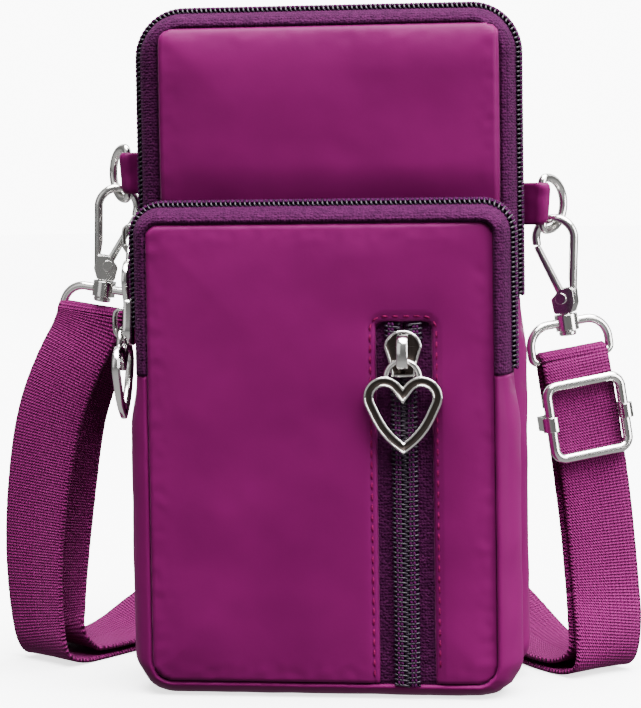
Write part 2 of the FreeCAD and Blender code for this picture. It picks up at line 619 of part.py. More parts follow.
def hook_body():
    # Shank axis along Z, spine towards +X, gate side towards -X
    left, right = LOOP_OFFSET - LOOP_RADIUS, LOOP_OFFSET + LOOP_RADIUS
    foot = V(BLOCK_HIGH - HOOK_WIRE, 0, 3.0)
    edges = [
        Part.makeLine(foot, V(right, 0, LOOP_HEIGHT)),
        arc(V(right, 0, LOOP_HEIGHT), V(LOOP_OFFSET, 0, LOOP_HEIGHT + LOOP_RADIUS),
            V(left, 0, LOOP_HEIGHT)),
        Part.makeLine(V(left, 0, LOOP_HEIGHT), V(left, 0, LOOP_HEIGHT - NOSE_DROP)),
    ]
    loop = pipe(edges, HOOK_WIRE)
    y = -BLOCK_THICK / 2
    corners = [V(-BLOCK_FOOT, y, 0), V(BLOCK_FOOT, y, 0), V(BLOCK_HIGH, y, PIVOT_HEIGHT * 0.6),
               V(BLOCK_HIGH, y, BLOCK_HEIGHT), V(0, y, BLOCK_HEIGHT), V(BLOCK_LOW, y, PIVOT_HEIGHT)]
    block = Part.Face(Part.makePolygon(corners + corners[:1])).extrude(V(0, BLOCK_THICK, 0))
    block = block.makeFillet(0.9, [e for e in block.Edges if e.BoundBox.YLength > 4])
    slot = box(BLOCK_LOW - 9, BLOCK_HIGH - SLOT_BACK, -SLOT_THICK / 2, SLOT_THICK / 2,
               SLOT_BACK, BLOCK_HEIGHT + 9)
    rivet = Part.makeCylinder(RIVET_RADIUS, BLOCK_THICK, V(0, -BLOCK_THICK / 2, PIVOT_HEIGHT), V(0, 1, 0))
    shank_low = -COLLAR_CLEAR * 2 - COLLAR_HEIGHT - SHANK_HEAD_THICK
    shank = Part.makeCylinder(SHANK_RADIUS, 1.0 - shank_low, V(0, 0, shank_low), V(0, 0, 1))
    head = Part.makeCylinder(SHANK_HEAD, SHANK_HEAD_THICK, V(0, 0, shank_low), V(0, 0, 1))
    head = head.makeFillet(0.5, [head.Edges[i] for i in range(len(head.Edges))
                                 if abs(head.Edges[i].BoundBox.ZMax - shank_low) < 0.01])
    body = join([block, loop]).cut(slot).cut(rivet)
    heads = []
    for side in (-1, 1):
        at = V(0, side * BLOCK_THICK / 2, PIVOT_HEIGHT)
        heads.append(Part.makeCylinder(RIVET_HEAD, RIVET_HEAD_THICK, at, V(0, side, 0)))
    return join([body, shank, head]), join([rivet] + heads)


def hook_gate():
    left = LOOP_OFFSET - LOOP_RADIUS
    tip = V(left, 0, LOOP_HEIGHT - NOSE_DROP - GATE_CLEAR - GATE_WIDTH * 0.45)
    pivot = V(0, 0, PIVOT_HEIGHT)
    along = tip - pivot
    length = along.Length
    y0, y1 = -GATE_THICK / 2, GATE_THICK / 2
    arm = box(-GATE_WIDTH / 2, GATE_WIDTH / 2, y0, y1, 0, length)
    tip_edges = [e for e in arm.Edges if e.BoundBox.YLength > 1 and e.BoundBox.ZMin > length - 1]
    arm = arm.makeFillet(GATE_WIDTH * 0.4, tip_edges)
    arm.rotate(V(0, 0, 0), V(0, 1, 0), math.degrees(math.atan2(along.x, along.z)))
    arm.translate(pivot)
    eye = Part.makeCylinder(GATE_EYE, GATE_THICK, V(0, y0, PIVOT_HEIGHT), V(0, 1, 0))
    bore = RIVET_RADIUS + GATE_CLEAR * 0.8
    hole = Part.makeCylinder(bore, GATE_THICK, V(0, y0, PIVOT_HEIGHT), V(0, 1, 0))
    return join([arm, eye]).cut(hole)


def gate_spring():
    # Leaf that stands in the slot between its back wall and the gate
    x1 = BLOCK_HIGH - SLOT_BACK
    foot = box(GATE_EYE * 0.2, x1, -SLOT_THICK * 0.3, SLOT_THICK * 0.3, SLOT_BACK, SLOT_BACK + SPRING_THICK)
    leaf = box(x1 - SPRING_THICK, x1, -SLOT_THICK * 0.3, SLOT_THICK * 0.3, SLOT_BACK, BLOCK_HEIGHT - 0.6)
    return join([foot, leaf])


def strap_eye():
    # Rounded wire loop below its collar; the strap bar is the lower side
    w, c = EYE_WIDTH / 2, EYE_CORNER
    top = -COLLAR_CLEAR - COLLAR_HEIGHT / 2
    low = top - EYE_HEIGHT
    k = math.sqrt(0.5)
    b = EYE_LOW_CORNER
    edges = [
        Part.makeLine(V(0, 0, low), V(w - b, 0, low)),
        arc(V(w - b, 0, low), V(w - b + b * k, 0, low + b - b * k), V(w, 0, low + b)),
        Part.makeLine(V(w, 0, low + b), V(w, 0, top - c)),
        arc(V(w, 0, top - c), V(w - c + c * k, 0, top - c + c * k), V(w - c, 0, top)),
        Part.makeLine(V(w - c, 0, top), V(-w + c, 0, top)),
        arc(V(-w + c, 0, top), V(-w + c - c * k, 0, top - c + c * k), V(-w, 0, top - c)),
        Part.makeLine(V(-w, 0, top - c), V(-w, 0, low + b)),
        arc(V(-w, 0, low + b), V(-w + b - b * k, 0, low + b - b * k), V(-w + b, 0, low)),
        Part.makeLine(V(-w + b, 0, low), V(0, 0, low)),
    ]
    wire = pipe(edges, EYE_WIRE)
    collar_low = -COLLAR_CLEAR - COLLAR_HEIGHT
    collar = Part.makeCylinder(COLLAR_RADIUS, COLLAR_HEIGHT, V(0, 0, collar_low), V(0, 0, 1))
    bore_radius = SHANK_RADIUS + COLLAR_CLEAR
    bore = Part.makeCylinder(bore_radius, COLLAR_HEIGHT + 2, V(0, 0, collar_low - 1), V(0, 0, 1))
    return join([wire, collar]).cut(bore), V(0, 0, low)


TAB_Y = BACK_FACE - TAB_INSET_Y
BAR_X = REAR_HALF + TAB_REACH
BACKWARD = V(0, 1, 0)
FALL = math.radians(STRAP_LEAN)
STRAP_AXIS = V(-math.sin(FALL), 0, math.cos(FALL))
STRAP_OUTWARD = V(math.cos(FALL), 0, math.sin(FALL))
HOOK_BODY, HOOK_RIVET = hook_body()
HOOK_GATE = hook_gate()
GATE_SPRING = gate_spring()
EYE, EYE_BAR = strap_eye()
RING = d_ring()


def side_pieces(tab_z, lean, eye_turn):
    # All the pieces of one side at their places, as if it were the right side
    found = {}
    lean = math.radians(lean)
    axis = V(-math.sin(lean), 0, math.cos(lean))
    outward = V(math.cos(lean), 0, math.sin(lean))
    loop_r = RING_WIRE + RING_CLEAR + TAB_THICK
    low, roll_low = tab_z - TAB_HEIGHT / 2, tab_z - TAB_ROLL_HEIGHT / 2
    strip = box(REAR_HALF - 8, BAR_X, TAB_Y - TAB_THICK, TAB_Y + TAB_THICK, low, low + TAB_HEIGHT)
    roll = Part.makeCylinder(loop_r, TAB_ROLL_HEIGHT, V(BAR_X, TAB_Y, roll_low), V(0, 0, 1))
    bore = Part.makeCylinder(loop_r - TAB_THICK, TAB_HEIGHT, V(BAR_X, TAB_Y, low), V(0, 0, 1))
    room = RING.rotated(V(0, 0, 0), V(0, 0, 1), RING_TURN).translated(V(BAR_X, TAB_Y, tab_z - RING_DROP))
    tab = join([strip, roll]).cut(bore)
    tab = tab.cut(rear_tape_back).cut(SHAPES["back_panel"])
    tab = max(tab.Solids, key=lambda s: s.BoundBox.XMax)
    found["tab"] = tab
    found["ring"] = room
    turn, rest_angle = math.radians(RING_TURN), math.radians(RING_REST)
    along = RING_STRAIGHT + RING_HALF * math.sin(rest_angle)
    rest = V(BAR_X + along * math.cos(turn), TAB_Y + along * math.sin(turn),
             tab_z - RING_DROP - RING_HALF * math.cos(rest_angle))
    crown = rest + V(0, 0, RING_WIRE + HOOK_CLEAR + HOOK_WIRE)
    psi = math.radians(HOOK_TURN)
    u = outward * math.cos(psi) + BACKWARD * math.sin(psi)
    origin = crown - axis * (LOOP_HEIGHT + LOOP_RADIUS) - u * LOOP_OFFSET
    hook = frame_matrix(origin, u, axis.cross(u), axis)
    found["hook"] = moved(HOOK_BODY, hook)
    found["rivet"] = moved(HOOK_RIVET, hook)
    found["gate"] = moved(HOOK_GATE, hook)
    found["spring"] = moved(GATE_SPRING, hook)
    eta = math.radians(eye_turn)
    w = STRAP_OUTWARD * math.cos(eta) + BACKWARD * math.sin(eta)
    found["eye"] = moved(EYE, frame_matrix(origin, w, STRAP_AXIS.cross(w), STRAP_AXIS))
    return found, origin, (axis, u), w


def mirrored(shape):
    return shape.mirror(V(0, 0, 0), V(1, 0, 0))


right, RIGHT_ORIGIN, RIGHT_DIRS, RIGHT_W = side_pieces(RIGHT_TAB_Z, RIGHT_LEAN, RIGHT_EYE_TURN)
left, LEFT_ORIGIN, LEFT_DIRS, LEFT_EYE_W = side_pieces(LEFT_TAB_Z, LEFT_LEAN, LEFT_EYE_TURN)
for key, name in (("tab", "tab"), ("ring", "d_ring"), ("hook", "hook_body"), ("rivet", "gate_rivet"),
                  ("gate", "hook_gate"), ("spring", "gate_spring"), ("eye", "strap_eye")):
    save("right_" + name, right[key])
    save("left_" + name, mirrored(left[key]))

for label, origin, (axis, u), sign in (("right", RIGHT_ORIGIN, RIGHT_DIRS, 1),
                                       ("left", LEFT_ORIGIN, LEFT_DIRS, -1)):
    pivot = origin + axis * PIVOT_HEIGHT
    swing = axis.cross(u)
    print(label, "hook origin", [round(v, 3) for v in (sign * origin.x, origin.y, origin.z)],
          "axis", [round(v, 5) for v in (sign * axis.x, axis.y, axis.z)],
          "gate pivot", [round(v, 3) for v in (sign * pivot.x, pivot.y, pivot.z)],
          "gate axis", [round(v, 5) for v in (swing.x, sign * swing.y, sign * swing.z)])

# Strap: webbing drawn through cross sections along its route
EYE_BAR_RIGHT = RIGHT_ORIGIN + STRAP_AXIS * EYE_BAR.z
EYE_BAR_LEFT = LEFT_ORIGIN + STRAP_AXIS * EYE_BAR.z
EYE_BAR_LEFT.x = -EYE_BAR_LEFT.x
TURN_RADIUS = EYE_WIRE + STRAP_CLEAR + STRAP_THICK / 2
DOWN = STRAP_AXIS * -1
LEFT_DOWN = V(-DOWN.x, DOWN.y, DOWN.z)
RIGHT_IN = RIGHT_W.cross(DOWN).normalize()
LEFT_W = V(LEFT_EYE_W.x, -LEFT_EYE_W.y, -LEFT_EYE_W.z)
LEFT_OUT = LEFT_W.cross(LEFT_DOWN).normalize() * -1
RIGHT_TOP = EYE_BAR_RIGHT - RIGHT_IN * TURN_RADIUS
LEFT_TURN = EYE_BAR_LEFT - LEFT_DOWN * LEFT_SLACK
LEFT_TOP = LEFT_TURN + LEFT_OUT * TURN_RADIUS


def blend(controls, t):
    # Point on a clamped quadratic spline with evenly spaced knots
    n = len(controls) - 2
    u = min(max(t, 0.0), 1.0) * n
    k = min(int(u), n - 1)
    f = u - k
    a, b, c = controls[k], controls[k + 1], controls[k + 2]
    first = a if k == 0 else (a + b) * 0.5
    last = c if k == n - 1 else (b + c) * 0.5
    return first * (1 - f) ** 2 + b * (2 * f * (1 - f)) + last * f ** 2


def tightest(points):
    # Smallest bend radius along the route
    found = []
    for i in range(1, 400):
        a, b, c = (blend(points, (i + d) / 400) for d in (-1, 0, 1))
        area = (b - a).cross(c - a).Length / 2
        if area > 1e-6:
            found.append((b - a).Length * (c - b).Length * (c - a).Length / (4 * area))
    return min(found)


def ribbon(points, widths, steps):
    sections = []
    length = 0
    last = None
    for i in range(steps + 1):
        t = i / steps
        p = blend(points, t)
        q = blend(points, min(t + 0.002, 1.0)) - blend(points, max(t - 0.002, 0.0))
        if i == 0:
            q = points[1] - points[0]
        if i == steps:
            q = points[-1] - points[-2]
        q.normalize()
        w = blend(widths, t)
        w = (w - q * w.dot(q)).normalize()
        n = w.cross(q).normalize()
        a, b = w * (STRAP_WIDTH / 2), n * (STRAP_THICK / 2)
        corners = [p - a - b, p + a - b, p + a + b, p - a + b]
        sections.append(Part.makePolygon(corners + corners[:1]))
        if last is not None:
            length += (p - last).Length
        last = p
    return Part.makeLoft(sections, True, True), length


left_route = [
    LEFT_TOP, LEFT_TOP + LEFT_DOWN * 7.0, V(-76.4, 17.6, 86.0), V(-82.4, 17.4, 71.0), V(-85.8, 17.4, 52.0),
    V(-87.6, 17.2, 33.0), V(-87.0, 16.4, 15.0), V(-84.8, 15.4, 3.2), V(-80.8, 20.0, 0.72),
    V(-75.0, 28.6, 0.8), V(-68.0, 39.0, 1.6), V(-60.0, 50.5, 5.4), V(-50.0, 64.0, 9.7),
    V(-34.0, 80.0, 10.9), V(-12.0, 88.0, 10.9)]
left_width = [
    LEFT_W, LEFT_W, V(0.965, -0.23, -0.1), V(0.97, -0.22, -0.05), V(0.95, -0.31, 0),
    V(0.91, -0.41, 0), V(0.86, -0.5, 0), V(0.83, -0.56, 0), V(0.81, -0.59, 0),
    V(0.8, -0.6, -0.03), V(0.78, -0.58, -0.1), V(0.66, -0.48, -0.45), V(0.3, -0.2, -0.9),
    V(0, 0, -1), V(0, 0, -1)]
right_route = [
    V(12.0, 88.0, 10.9), V(31.0, 79.0, 10.9), V(42.0, 64.0, 9.0), V(48.5, 48.5, 4.9),
    V(55.5, 33.5, 1.8), V(62.8, 22.6, 0.8), V(69.6, 15.4, 0.72), V(74.4, 11.0, 3.0), V(75.4, 11.6, 12.0),
    RIGHT_TOP + DOWN * 64.0 + V(-1.0, -2.0, 0), RIGHT_TOP + DOWN * 42.0,
    RIGHT_TOP + DOWN * 21.0, RIGHT_TOP]
right_width = [
    V(0, 0, -1), V(-0.05, -0.03, -1), V(-0.38, -0.26, -0.83), V(-0.64, -0.5, -0.42),
    V(-0.68, -0.66, -0.12), V(-0.69, -0.72, -0.03), V(-0.72, -0.69, 0), V(-0.8, -0.6, 0), V(-0.86, -0.51, 0),
    RIGHT_W * -1, RIGHT_W * -1, RIGHT_W * -1, RIGHT_W * -1]
outer_route = left_route + right_route
outer_width = left_width + right_width
outer, outer_length = ribbon(outer_route, outer_width, 110)
save("strap_outer_run", outer)
print("strap outer run length", round(outer_length, 1), "tightest bend", round(tightest(outer_route), 1))

# Inner run: the same webbing on the inside of the loop, down from the left eye and up to the adjuster bar
BAR_OFFSET = STRAP_THICK / 2 + FRAME_CLEAR + STRAP_THICK + STRAP_CLEAR + BAR_RADIUS
spacing = [2 * TURN_RADIUS, 7.0, 12.5, 16.0, 15.5, 13.0, 9.0, 6.0, 4.0, 2.6, 2.4, 2.4, 2.4, 2.4, 2.4,
           2.4, 2.4, 2.4, 2.4, 2.4, 2.4, 3.0, 4.0, 3.6, BAR_OFFSET, BAR_OFFSET]
inner_route, inner_width = [], []
for i, gap in enumerate(spacing):
    p = outer_route[i]
    ahead = outer_route[min(i + 1, len(outer_route) - 1)] - outer_route[max(i - 1, 0)]
    ahead.normalize()
    w = outer_width[i] - ahead * outer_width[i].dot(ahead)
    inward = w.normalize().cross(ahead).normalize()
    inner_route.append(p + inward * gap)
    inner_width.append(outer_width[i])
inner_route[0] = LEFT_TURN - LEFT_OUT * TURN_RADIUS
inner_route[1] = inner_route[0] + LEFT_DOWN * 7.0
inner_route[7:9] = [V(-81.2, 21.8, 7.6), V(-78.0, 25.8, 3.5)]
inner_route[21:24] = [V(68.2, 18.0, 3.5), V(72.6, 14.6, 6.9), V(73.0, 17.2, 17.0)]
WRAP_RADIUS = BAR_RADIUS + STRAP_CLEAR + STRAP_THICK
BAR_AT = RIGHT_TOP + DOWN * ADJUSTER_DROP + RIGHT_IN * BAR_OFFSET
inner_route[-1] = BAR_AT + DOWN * (WRAP_RADIUS + STRAP_CLEAR)
inner_route[-2] = RIGHT_TOP + DOWN * 42.0 + RIGHT_IN * BAR_OFFSET
inner, inner_length = ribbon(inner_route, inner_width, 104)
save("strap_inner_run", inner)
print("strap inner run length", round(inner_length, 1), "tightest bend", round(tightest(inner_route), 1))


def strap_frame(origin, along_bar, inward):
    # X along the bar, Y towards the inner face, Z up the strap
    return frame_matrix(origin, along_bar, inward, along_bar.cross(inward))


def half_turn(length):
    outer_r, inner_r = TURN_RADIUS + STRAP_THICK / 2, TURN_RADIUS - STRAP_THICK / 2
    roll = Part.makeCylinder(outer_r, STRAP_WIDTH, V(-STRAP_WIDTH / 2, 0, 0), V(1, 0, 0))
    roll = roll.cut(Part.makeCylinder(inner_r, STRAP_WIDTH, V(-STRAP_WIDTH / 2, 0, 0), V(1, 0, 0)))
    roll = roll.common(box(-50, 50, -50, 50, 0, 50))
    if length > 0:
        tail = box(-STRAP_WIDTH / 2, STRAP_WIDTH / 2, inner_r, outer_r, -length, 0)
        roll = join([roll, tail])
    return roll


save("strap_left_turn", moved(half_turn(0), strap_frame(LEFT_TURN, LEFT_W, LEFT_OUT * -1)))
save("strap_right_fold", moved(half_turn(FOLD_TAIL), strap_frame(EYE_BAR_RIGHT, RIGHT_W, RIGHT_IN)))

# Adjuster: wire frame in front of the strap, movable bar behind it, strap end sewn round the bar
RAIL = STRAP_WIDTH / 2 + STRAP_CLEAR + EAR_MOUTH
FRAME_Y = -(STRAP_THICK / 2 + FRAME_CLEAR + FRAME_WIRE)
BAR_Y = BAR_OFFSET
ADJUSTER = strap_frame(RIGHT_TOP + DOWN * ADJUSTER_DROP, RIGHT_W, RIGHT_IN)


def adjuster_frame():
    w, h, c, y = RAIL, FRAME_HEIGHT / 2, FRAME_CORNER, FRAME_Y
    k = math.sqrt(0.5)
    edges = [Part.makeLine(V(0, y, -h), V(w - c, y, -h))]
    edges.append(arc(V(w - c, y, -h), V(w - c + c * k, y, -h + c - c * k), V(w, y, -h + c)))
    edges.append(Part.makeLine(V(w, y, -h + c), V(w, y, h - c)))
    edges.append(arc(V(w, y, h - c), V(w - c + c * k, y, h - c + c * k), V(w - c, y, h)))
    edges.append(Part.makeLine(V(w - c, y, h), V(-w + c, y, h)))
    edges.append(arc(V(-w + c, y, h), V(-w + c - c * k, y, h - c + c * k), V(-w, y, h - c)))
    edges.append(Part.makeLine(V(-w, y, h - c), V(-w, y, -h + c)))
    edges.append(arc(V(-w, y, -h + c), V(-w + c - c * k, y, -h + c - c * k), V(-w + c, y, -h)))
    edges.append(Part.makeLine(V(-w + c, y, -h), V(0, y, -h)))
    return pipe(edges, FRAME_WIRE)


def adjuster_bar():
    pieces = [Part.makeCylinder(BAR_RADIUS, 2 * RAIL, V(-RAIL, BAR_Y, 0), V(1, 0, 0))]
    bore_r = FRAME_WIRE + STRAP_CLEAR
    ear_r = bore_r + EAR_WALL
    near = RAIL - EAR_MOUTH
    for side in (-1, 1):
        rail = V(side * RAIL, FRAME_Y, -EAR_WIDTH / 2)
        ear = Part.makeCylinder(ear_r, EAR_WIDTH, rail, V(0, 0, 1))
        arm = box(side * RAIL - EAR_WALL, side * RAIL + EAR_WALL, FRAME_Y, BAR_Y + BAR_RADIUS + STRAP_CLEAR,
                  -EAR_WIDTH / 2, EAR_WIDTH / 2)
        inside = box(-near, near, -20, 20, -9, 9)
        bore = Part.makeCylinder(bore_r, EAR_WIDTH, rail, V(0, 0, 1))
        pieces.append(ear.fuse(arm).removeSplitter().cut(bore).cut(inside))
    return join(pieces)


def bar_wrap():
    start = V(-STRAP_WIDTH / 2 + 0.2, BAR_Y, 0)
    roll = Part.makeCylinder(WRAP_RADIUS, STRAP_WIDTH - 0.4, start, V(1, 0, 0))
    return roll.cut(Part.makeCylinder(BAR_RADIUS, STRAP_WIDTH, start, V(1, 0, 0)))


save("adjuster_frame", moved(adjuster_frame(), ADJUSTER))
save("adjuster_bar", moved(adjuster_bar(), ADJUSTER))
save("strap_bar_loop", moved(bar_wrap(), ADJUSTER))

print("tab bar x", BAR_X, "y", TAB_Y, "ring turn", RING_TURN)
print("pull axis outward", PULL_AXIS_N, "along", PULL_AXIS_S, "panel back", PANEL_BACK)
print("front chain y", FRONT_CHAIN_Y, "rear chain y", REAR_CHAIN_Y)
print("strap down", [round(v, 5) for v in DOWN])
print("right top", [round(v, 3) for v in RIGHT_TOP], "left top", [round(v, 3) for v in LEFT_TOP])
print("right across", [round(v, 5) for v in RIGHT_W], "left across", [round(v, 5) for v in LEFT_W])
print("right inward", [round(v, 5) for v in RIGHT_IN], "left outward", [round(v, 5) for v in LEFT_OUT])
print("eye bars", [round(v, 3) for v in EYE_BAR_RIGHT], [round(v, 3) for v in EYE_BAR_LEFT])
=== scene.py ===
# %% [markdown]
# A phone pouch of plum-coloured nylon stands on a white table. A short zipped compartment is sewn to the
# front of a tall one, an upright pocket zip runs down the front, and a webbing strap hangs in two snap hooks.
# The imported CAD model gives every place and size. This lesson dresses it: fabric, zips, webbing and metal.

# %% Load the frame
import math
import random

import bmesh
import bpy
from mathutils import Matrix, Vector, noise


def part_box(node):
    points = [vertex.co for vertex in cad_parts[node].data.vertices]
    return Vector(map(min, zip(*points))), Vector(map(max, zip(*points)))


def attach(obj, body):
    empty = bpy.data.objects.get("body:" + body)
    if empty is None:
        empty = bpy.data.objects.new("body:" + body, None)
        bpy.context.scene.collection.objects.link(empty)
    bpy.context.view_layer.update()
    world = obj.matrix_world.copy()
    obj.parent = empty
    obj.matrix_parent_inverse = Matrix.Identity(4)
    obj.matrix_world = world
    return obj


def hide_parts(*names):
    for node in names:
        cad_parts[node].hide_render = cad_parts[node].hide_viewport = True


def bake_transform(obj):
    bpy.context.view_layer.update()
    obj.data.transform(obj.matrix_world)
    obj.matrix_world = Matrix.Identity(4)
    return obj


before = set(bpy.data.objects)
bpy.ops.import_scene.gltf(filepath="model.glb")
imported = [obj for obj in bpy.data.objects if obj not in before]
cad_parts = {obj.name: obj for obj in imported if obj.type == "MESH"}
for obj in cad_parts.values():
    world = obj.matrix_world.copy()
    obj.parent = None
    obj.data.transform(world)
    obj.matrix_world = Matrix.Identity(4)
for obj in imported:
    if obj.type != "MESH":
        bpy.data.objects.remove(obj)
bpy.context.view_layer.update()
MM = 0.001
random.seed(7)

# %% [markdown]
# The photograph was taken with a long lens, from a little to the right of the middle and from about three
# quarters of the pouch's height. The camera looks down by only a few degrees, so upright edges stay nearly
# upright. A small shift of the lens brings the object to the middle of the picture.

# %% Camera
PHOTO_WIDTH = 641
FOCAL_PIXELS = 2211.9
CAMERA_SPOT = (72.19, -595.08, 148.57)
CAMERA_YAW = 7.06
CAMERA_PITCH = -3.0
CAMERA_ROLL = -0.871
VIEW_DROP = 100.0

camera_data = bpy.data.cameras.new("camera")
camera_data.sensor_fit = "HORIZONTAL"
camera_data.sensor_width = 36.0
camera_data.lens = 36.0 * FOCAL_PIXELS / PHOTO_WIDTH
camera_data.shift_y = -VIEW_DROP / PHOTO_WIDTH
camera_data.clip_start = 0.01
camera = bpy.data.objects.new("camera", camera_data)
camera.location = [c * MM for c in CAMERA_SPOT]
yaw = Matrix.Rotation(math.radians(CAMERA_YAW), 4, "Z")
pitch = Matrix.Rotation(math.radians(90 + CAMERA_PITCH), 4, "X")
roll = Matrix.Rotation(math.radians(CAMERA_ROLL), 4, "Z")
camera.rotation_euler = (yaw @ pitch @ roll).to_euler()
bpy.context.scene.collection.objects.link(camera)
bpy.context.scene.camera = camera
print("lens", round(camera_data.lens, 1))

# %% [markdown]
# The picture is high key: a white table runs into a white background, and the pouch stands in front of it
# in quieter light. A broad sun from above lights the table evenly and the tops of the panels, and large soft
# lamps at both sides of the camera light the front. Between them the room is dim, so polished metal finds
# both light and dark to mirror. Table and backdrop send no light back into the object, because white
# surfaces all round would wash out the deep colour and the dark lines in the metal.

# %% Lights and table
CENTRE = Vector((0.0, 0.0, 0.09))
LAMPS = {
    "lamp_left": ((-0.75, -0.95, 0.5), (0.7, 1.0), 2.2),
    "lamp_right": ((1.15, -0.35, 0.42), (0.6, 1.0), 24.0),
    "lamp_behind": ((-0.6, 1.0, 0.6), (0.5, 0.9), 3.0),
    "lamp_behind_right": ((0.7, 0.9, 0.6), (0.5, 0.9), 5.0),
}
for name, (spot, size, watts) in LAMPS.items():
    data = bpy.data.lights.new(name, "AREA")
    data.shape = "RECTANGLE"
    data.size, data.size_y = size
    data.energy = watts
    obj = bpy.data.objects.new(name, data)
    obj.location = spot
    obj.rotation_euler = (CENTRE - Vector(spot)).to_track_quat("-Z", "Y").to_euler()
    bpy.context.scene.collection.objects.link(obj)

SUN_POWER = 24.0
sun_data = bpy.data.lights.new("lamp_above", "SUN")
sun_data.energy = SUN_POWER
sun_data.angle = math.radians(70)
sun = bpy.data.objects.new("lamp_above", sun_data)
sun.rotation_euler = (math.radians(6), math.radians(10), 0)
bpy.context.scene.collection.objects.link(sun)

world = bpy.data.worlds.new("studio")
bpy.context.scene.world = world
world.use_nodes = True
sky = world.node_tree
backdrop = sky.nodes["Background"]
where = sky.nodes.new("ShaderNodeTexCoord")
split = sky.nodes.new("ShaderNodeSeparateXYZ")
ramp = sky.nodes.new("ShaderNodeValToRGB")
height_share = sky.nodes.new("ShaderNodeMath")
height_share.operation = "MULTIPLY_ADD"
height_share.inputs[1].default_value = 0.5
height_share.inputs[2].default_value = 0.5
sky.links.new(where.outputs["Generated"], split.inputs[0])
sky.links.new(split.outputs["Z"], height_share.inputs[0])
sky.links.new(height_share.outputs[0], ramp.inputs[0])
sky.links.new(ramp.outputs[0], backdrop.inputs["Color"])
ROOM = [(0.0, 0.6), (0.3, 0.45), (0.46, 0.17), (0.55, 0.2), (0.75, 0.3), (1.0, 0.5)]
stops = ramp.color_ramp.elements
while len(stops) < len(ROOM):
    stops.new(0.5)
for stop, (share, level) in zip(stops, ROOM):
    stop.position = share
    stop.color = (level, level, level, 1)

TABLE = 3.0
TABLE_GLOW = 2.0
WALL_GLOW = 10.0


def stage_piece(name, points, faces, colour, glow):
    mesh = bpy.data.meshes.new(name)
    mesh.from_pydata(points, [], faces)
    mat = bpy.data.materials.new(name + "_white")
    mat.use_nodes = True
    shader = mat.node_tree.nodes["Principled BSDF"]
    shader.inputs["Base Color"].default_value = (*colour, 1)
    shader.inputs["Emission Color"].default_value = (1, 1, 1, 1)
    shader.inputs["Emission Strength"].default_value = glow
    mesh.materials.append(mat)
    obj = bpy.data.objects.new(name, mesh)
    bpy.context.scene.collection.objects.link(obj)
    obj.visible_diffuse = False
    obj.visible_glossy = False
    return obj, shader


turns = [math.radians(a) for a in range(0, 360, 5)]
rim = [(TABLE * math.cos(a), TABLE * math.sin(a), 0.0) for a in turns]
count = len(rim)
upright = [(i, (i + 1) % count, count + (i + 1) % count, count + i) for i in range(count)]
table, table_shader = stage_piece("table", rim, [list(range(count))], (0.93, 0.93, 0.94), TABLE_GLOW)
table_shader.inputs["Roughness"].default_value = 0.9
table_shader.inputs["Specular IOR Level"].default_value = 0.0
wall, _ = stage_piece("backdrop", rim + [(x, y, TABLE) for x, y, z in rim], upright, (0, 0, 0), WALL_GLOW)
wall.visible_shadow = False
print("lamps", len(LAMPS) + 1)

# %% [markdown]
# Each finish is a small node tree. The nylon is a fine plain weave with a soft satin sheen, and its colour
# drifts a little from place to place where the padding under it presses. Two crossed waves and a fine noise
# make the weave, a wider noise makes soft dents, and a slow one makes the drift. They all read object
# coordinates, so no unwrapping is needed.

# %% Finishes: helpers and nylon
def finish(name, roughness, metallic=0.0):
    mat = bpy.data.materials.new(name)
    mat.use_nodes = True
    shader = mat.node_tree.nodes["Principled BSDF"]
    shader.inputs["Roughness"].default_value = roughness
    shader.inputs["Metallic"].default_value = metallic
    return mat, mat.node_tree, shader


def node(tree, kind, **values):
    made = tree.nodes.new(kind)
    for key, value in values.items():
        if hasattr(made, key):
            setattr(made, key, value)
        else:
            made.inputs[key].default_value = value
    return made


def mottle(tree, coords, size, detail):
    # Noise with patches about as wide as size in metres
    made = node(tree, "ShaderNodeTexNoise", Scale=1.0 / size, Detail=detail)
    tree.links.new(coords, made.inputs["Vector"])
    return made.outputs["Fac"]


def drift(tree, coords, size, dark, light, detail=3.0):
    # Slow change between two colours
    ramp = node(tree, "ShaderNodeValToRGB")
    ramp.color_ramp.elements[0].position = 0.3
    ramp.color_ramp.elements[0].color = (*dark, 1)
    ramp.color_ramp.elements[1].position = 0.72
    ramp.color_ramp.elements[1].color = (*light, 1)
    tree.links.new(mottle(tree, coords, size, detail), ramp.inputs["Fac"])
    return ramp.outputs["Color"]


def waves(tree, coords, period, direction):
    bands = node(tree, "ShaderNodeTexWave", bands_direction=direction, Scale=0.314 / period, Distortion=0.4)
    tree.links.new(coords, bands.inputs["Vector"])
    return bands.outputs["Fac"]


def math_of(tree, operation, a, b):
    made = node(tree, "ShaderNodeMath", operation=operation)
    for socket, value in zip(made.inputs, (a, b)):
        if isinstance(value, (int, float)):
            socket.default_value = value
        else:
            tree.links.new(value, socket)
    return made.outputs[0]


def mix_of(tree, *parts):
    # Sum of the parts, each times its share
    total = 0.0
    for part, share in parts:
        total = math_of(tree, "ADD", total, math_of(tree, "MULTIPLY", part, share))
    return total


def sheen(shader, tint, specular):
    shader.inputs["Sheen Weight"].default_value = 0.03
    shader.inputs["Sheen Tint"].default_value = (*tint, 1)
    shader.inputs["Specular IOR Level"].default_value = specular


def bump(tree, shader, height, strength, distance):
    made = node(tree, "ShaderNodeBump", Strength=strength, Distance=distance)
    tree.links.new(height, made.inputs["Height"])
    tree.links.new(made.outputs["Normal"], shader.inputs["Normal"])


NYLON_DARK = (0.088, 0.0016, 0.049)
NYLON_LIGHT = (0.11, 0.0026, 0.061)
WEAVE_PERIOD = 0.00021

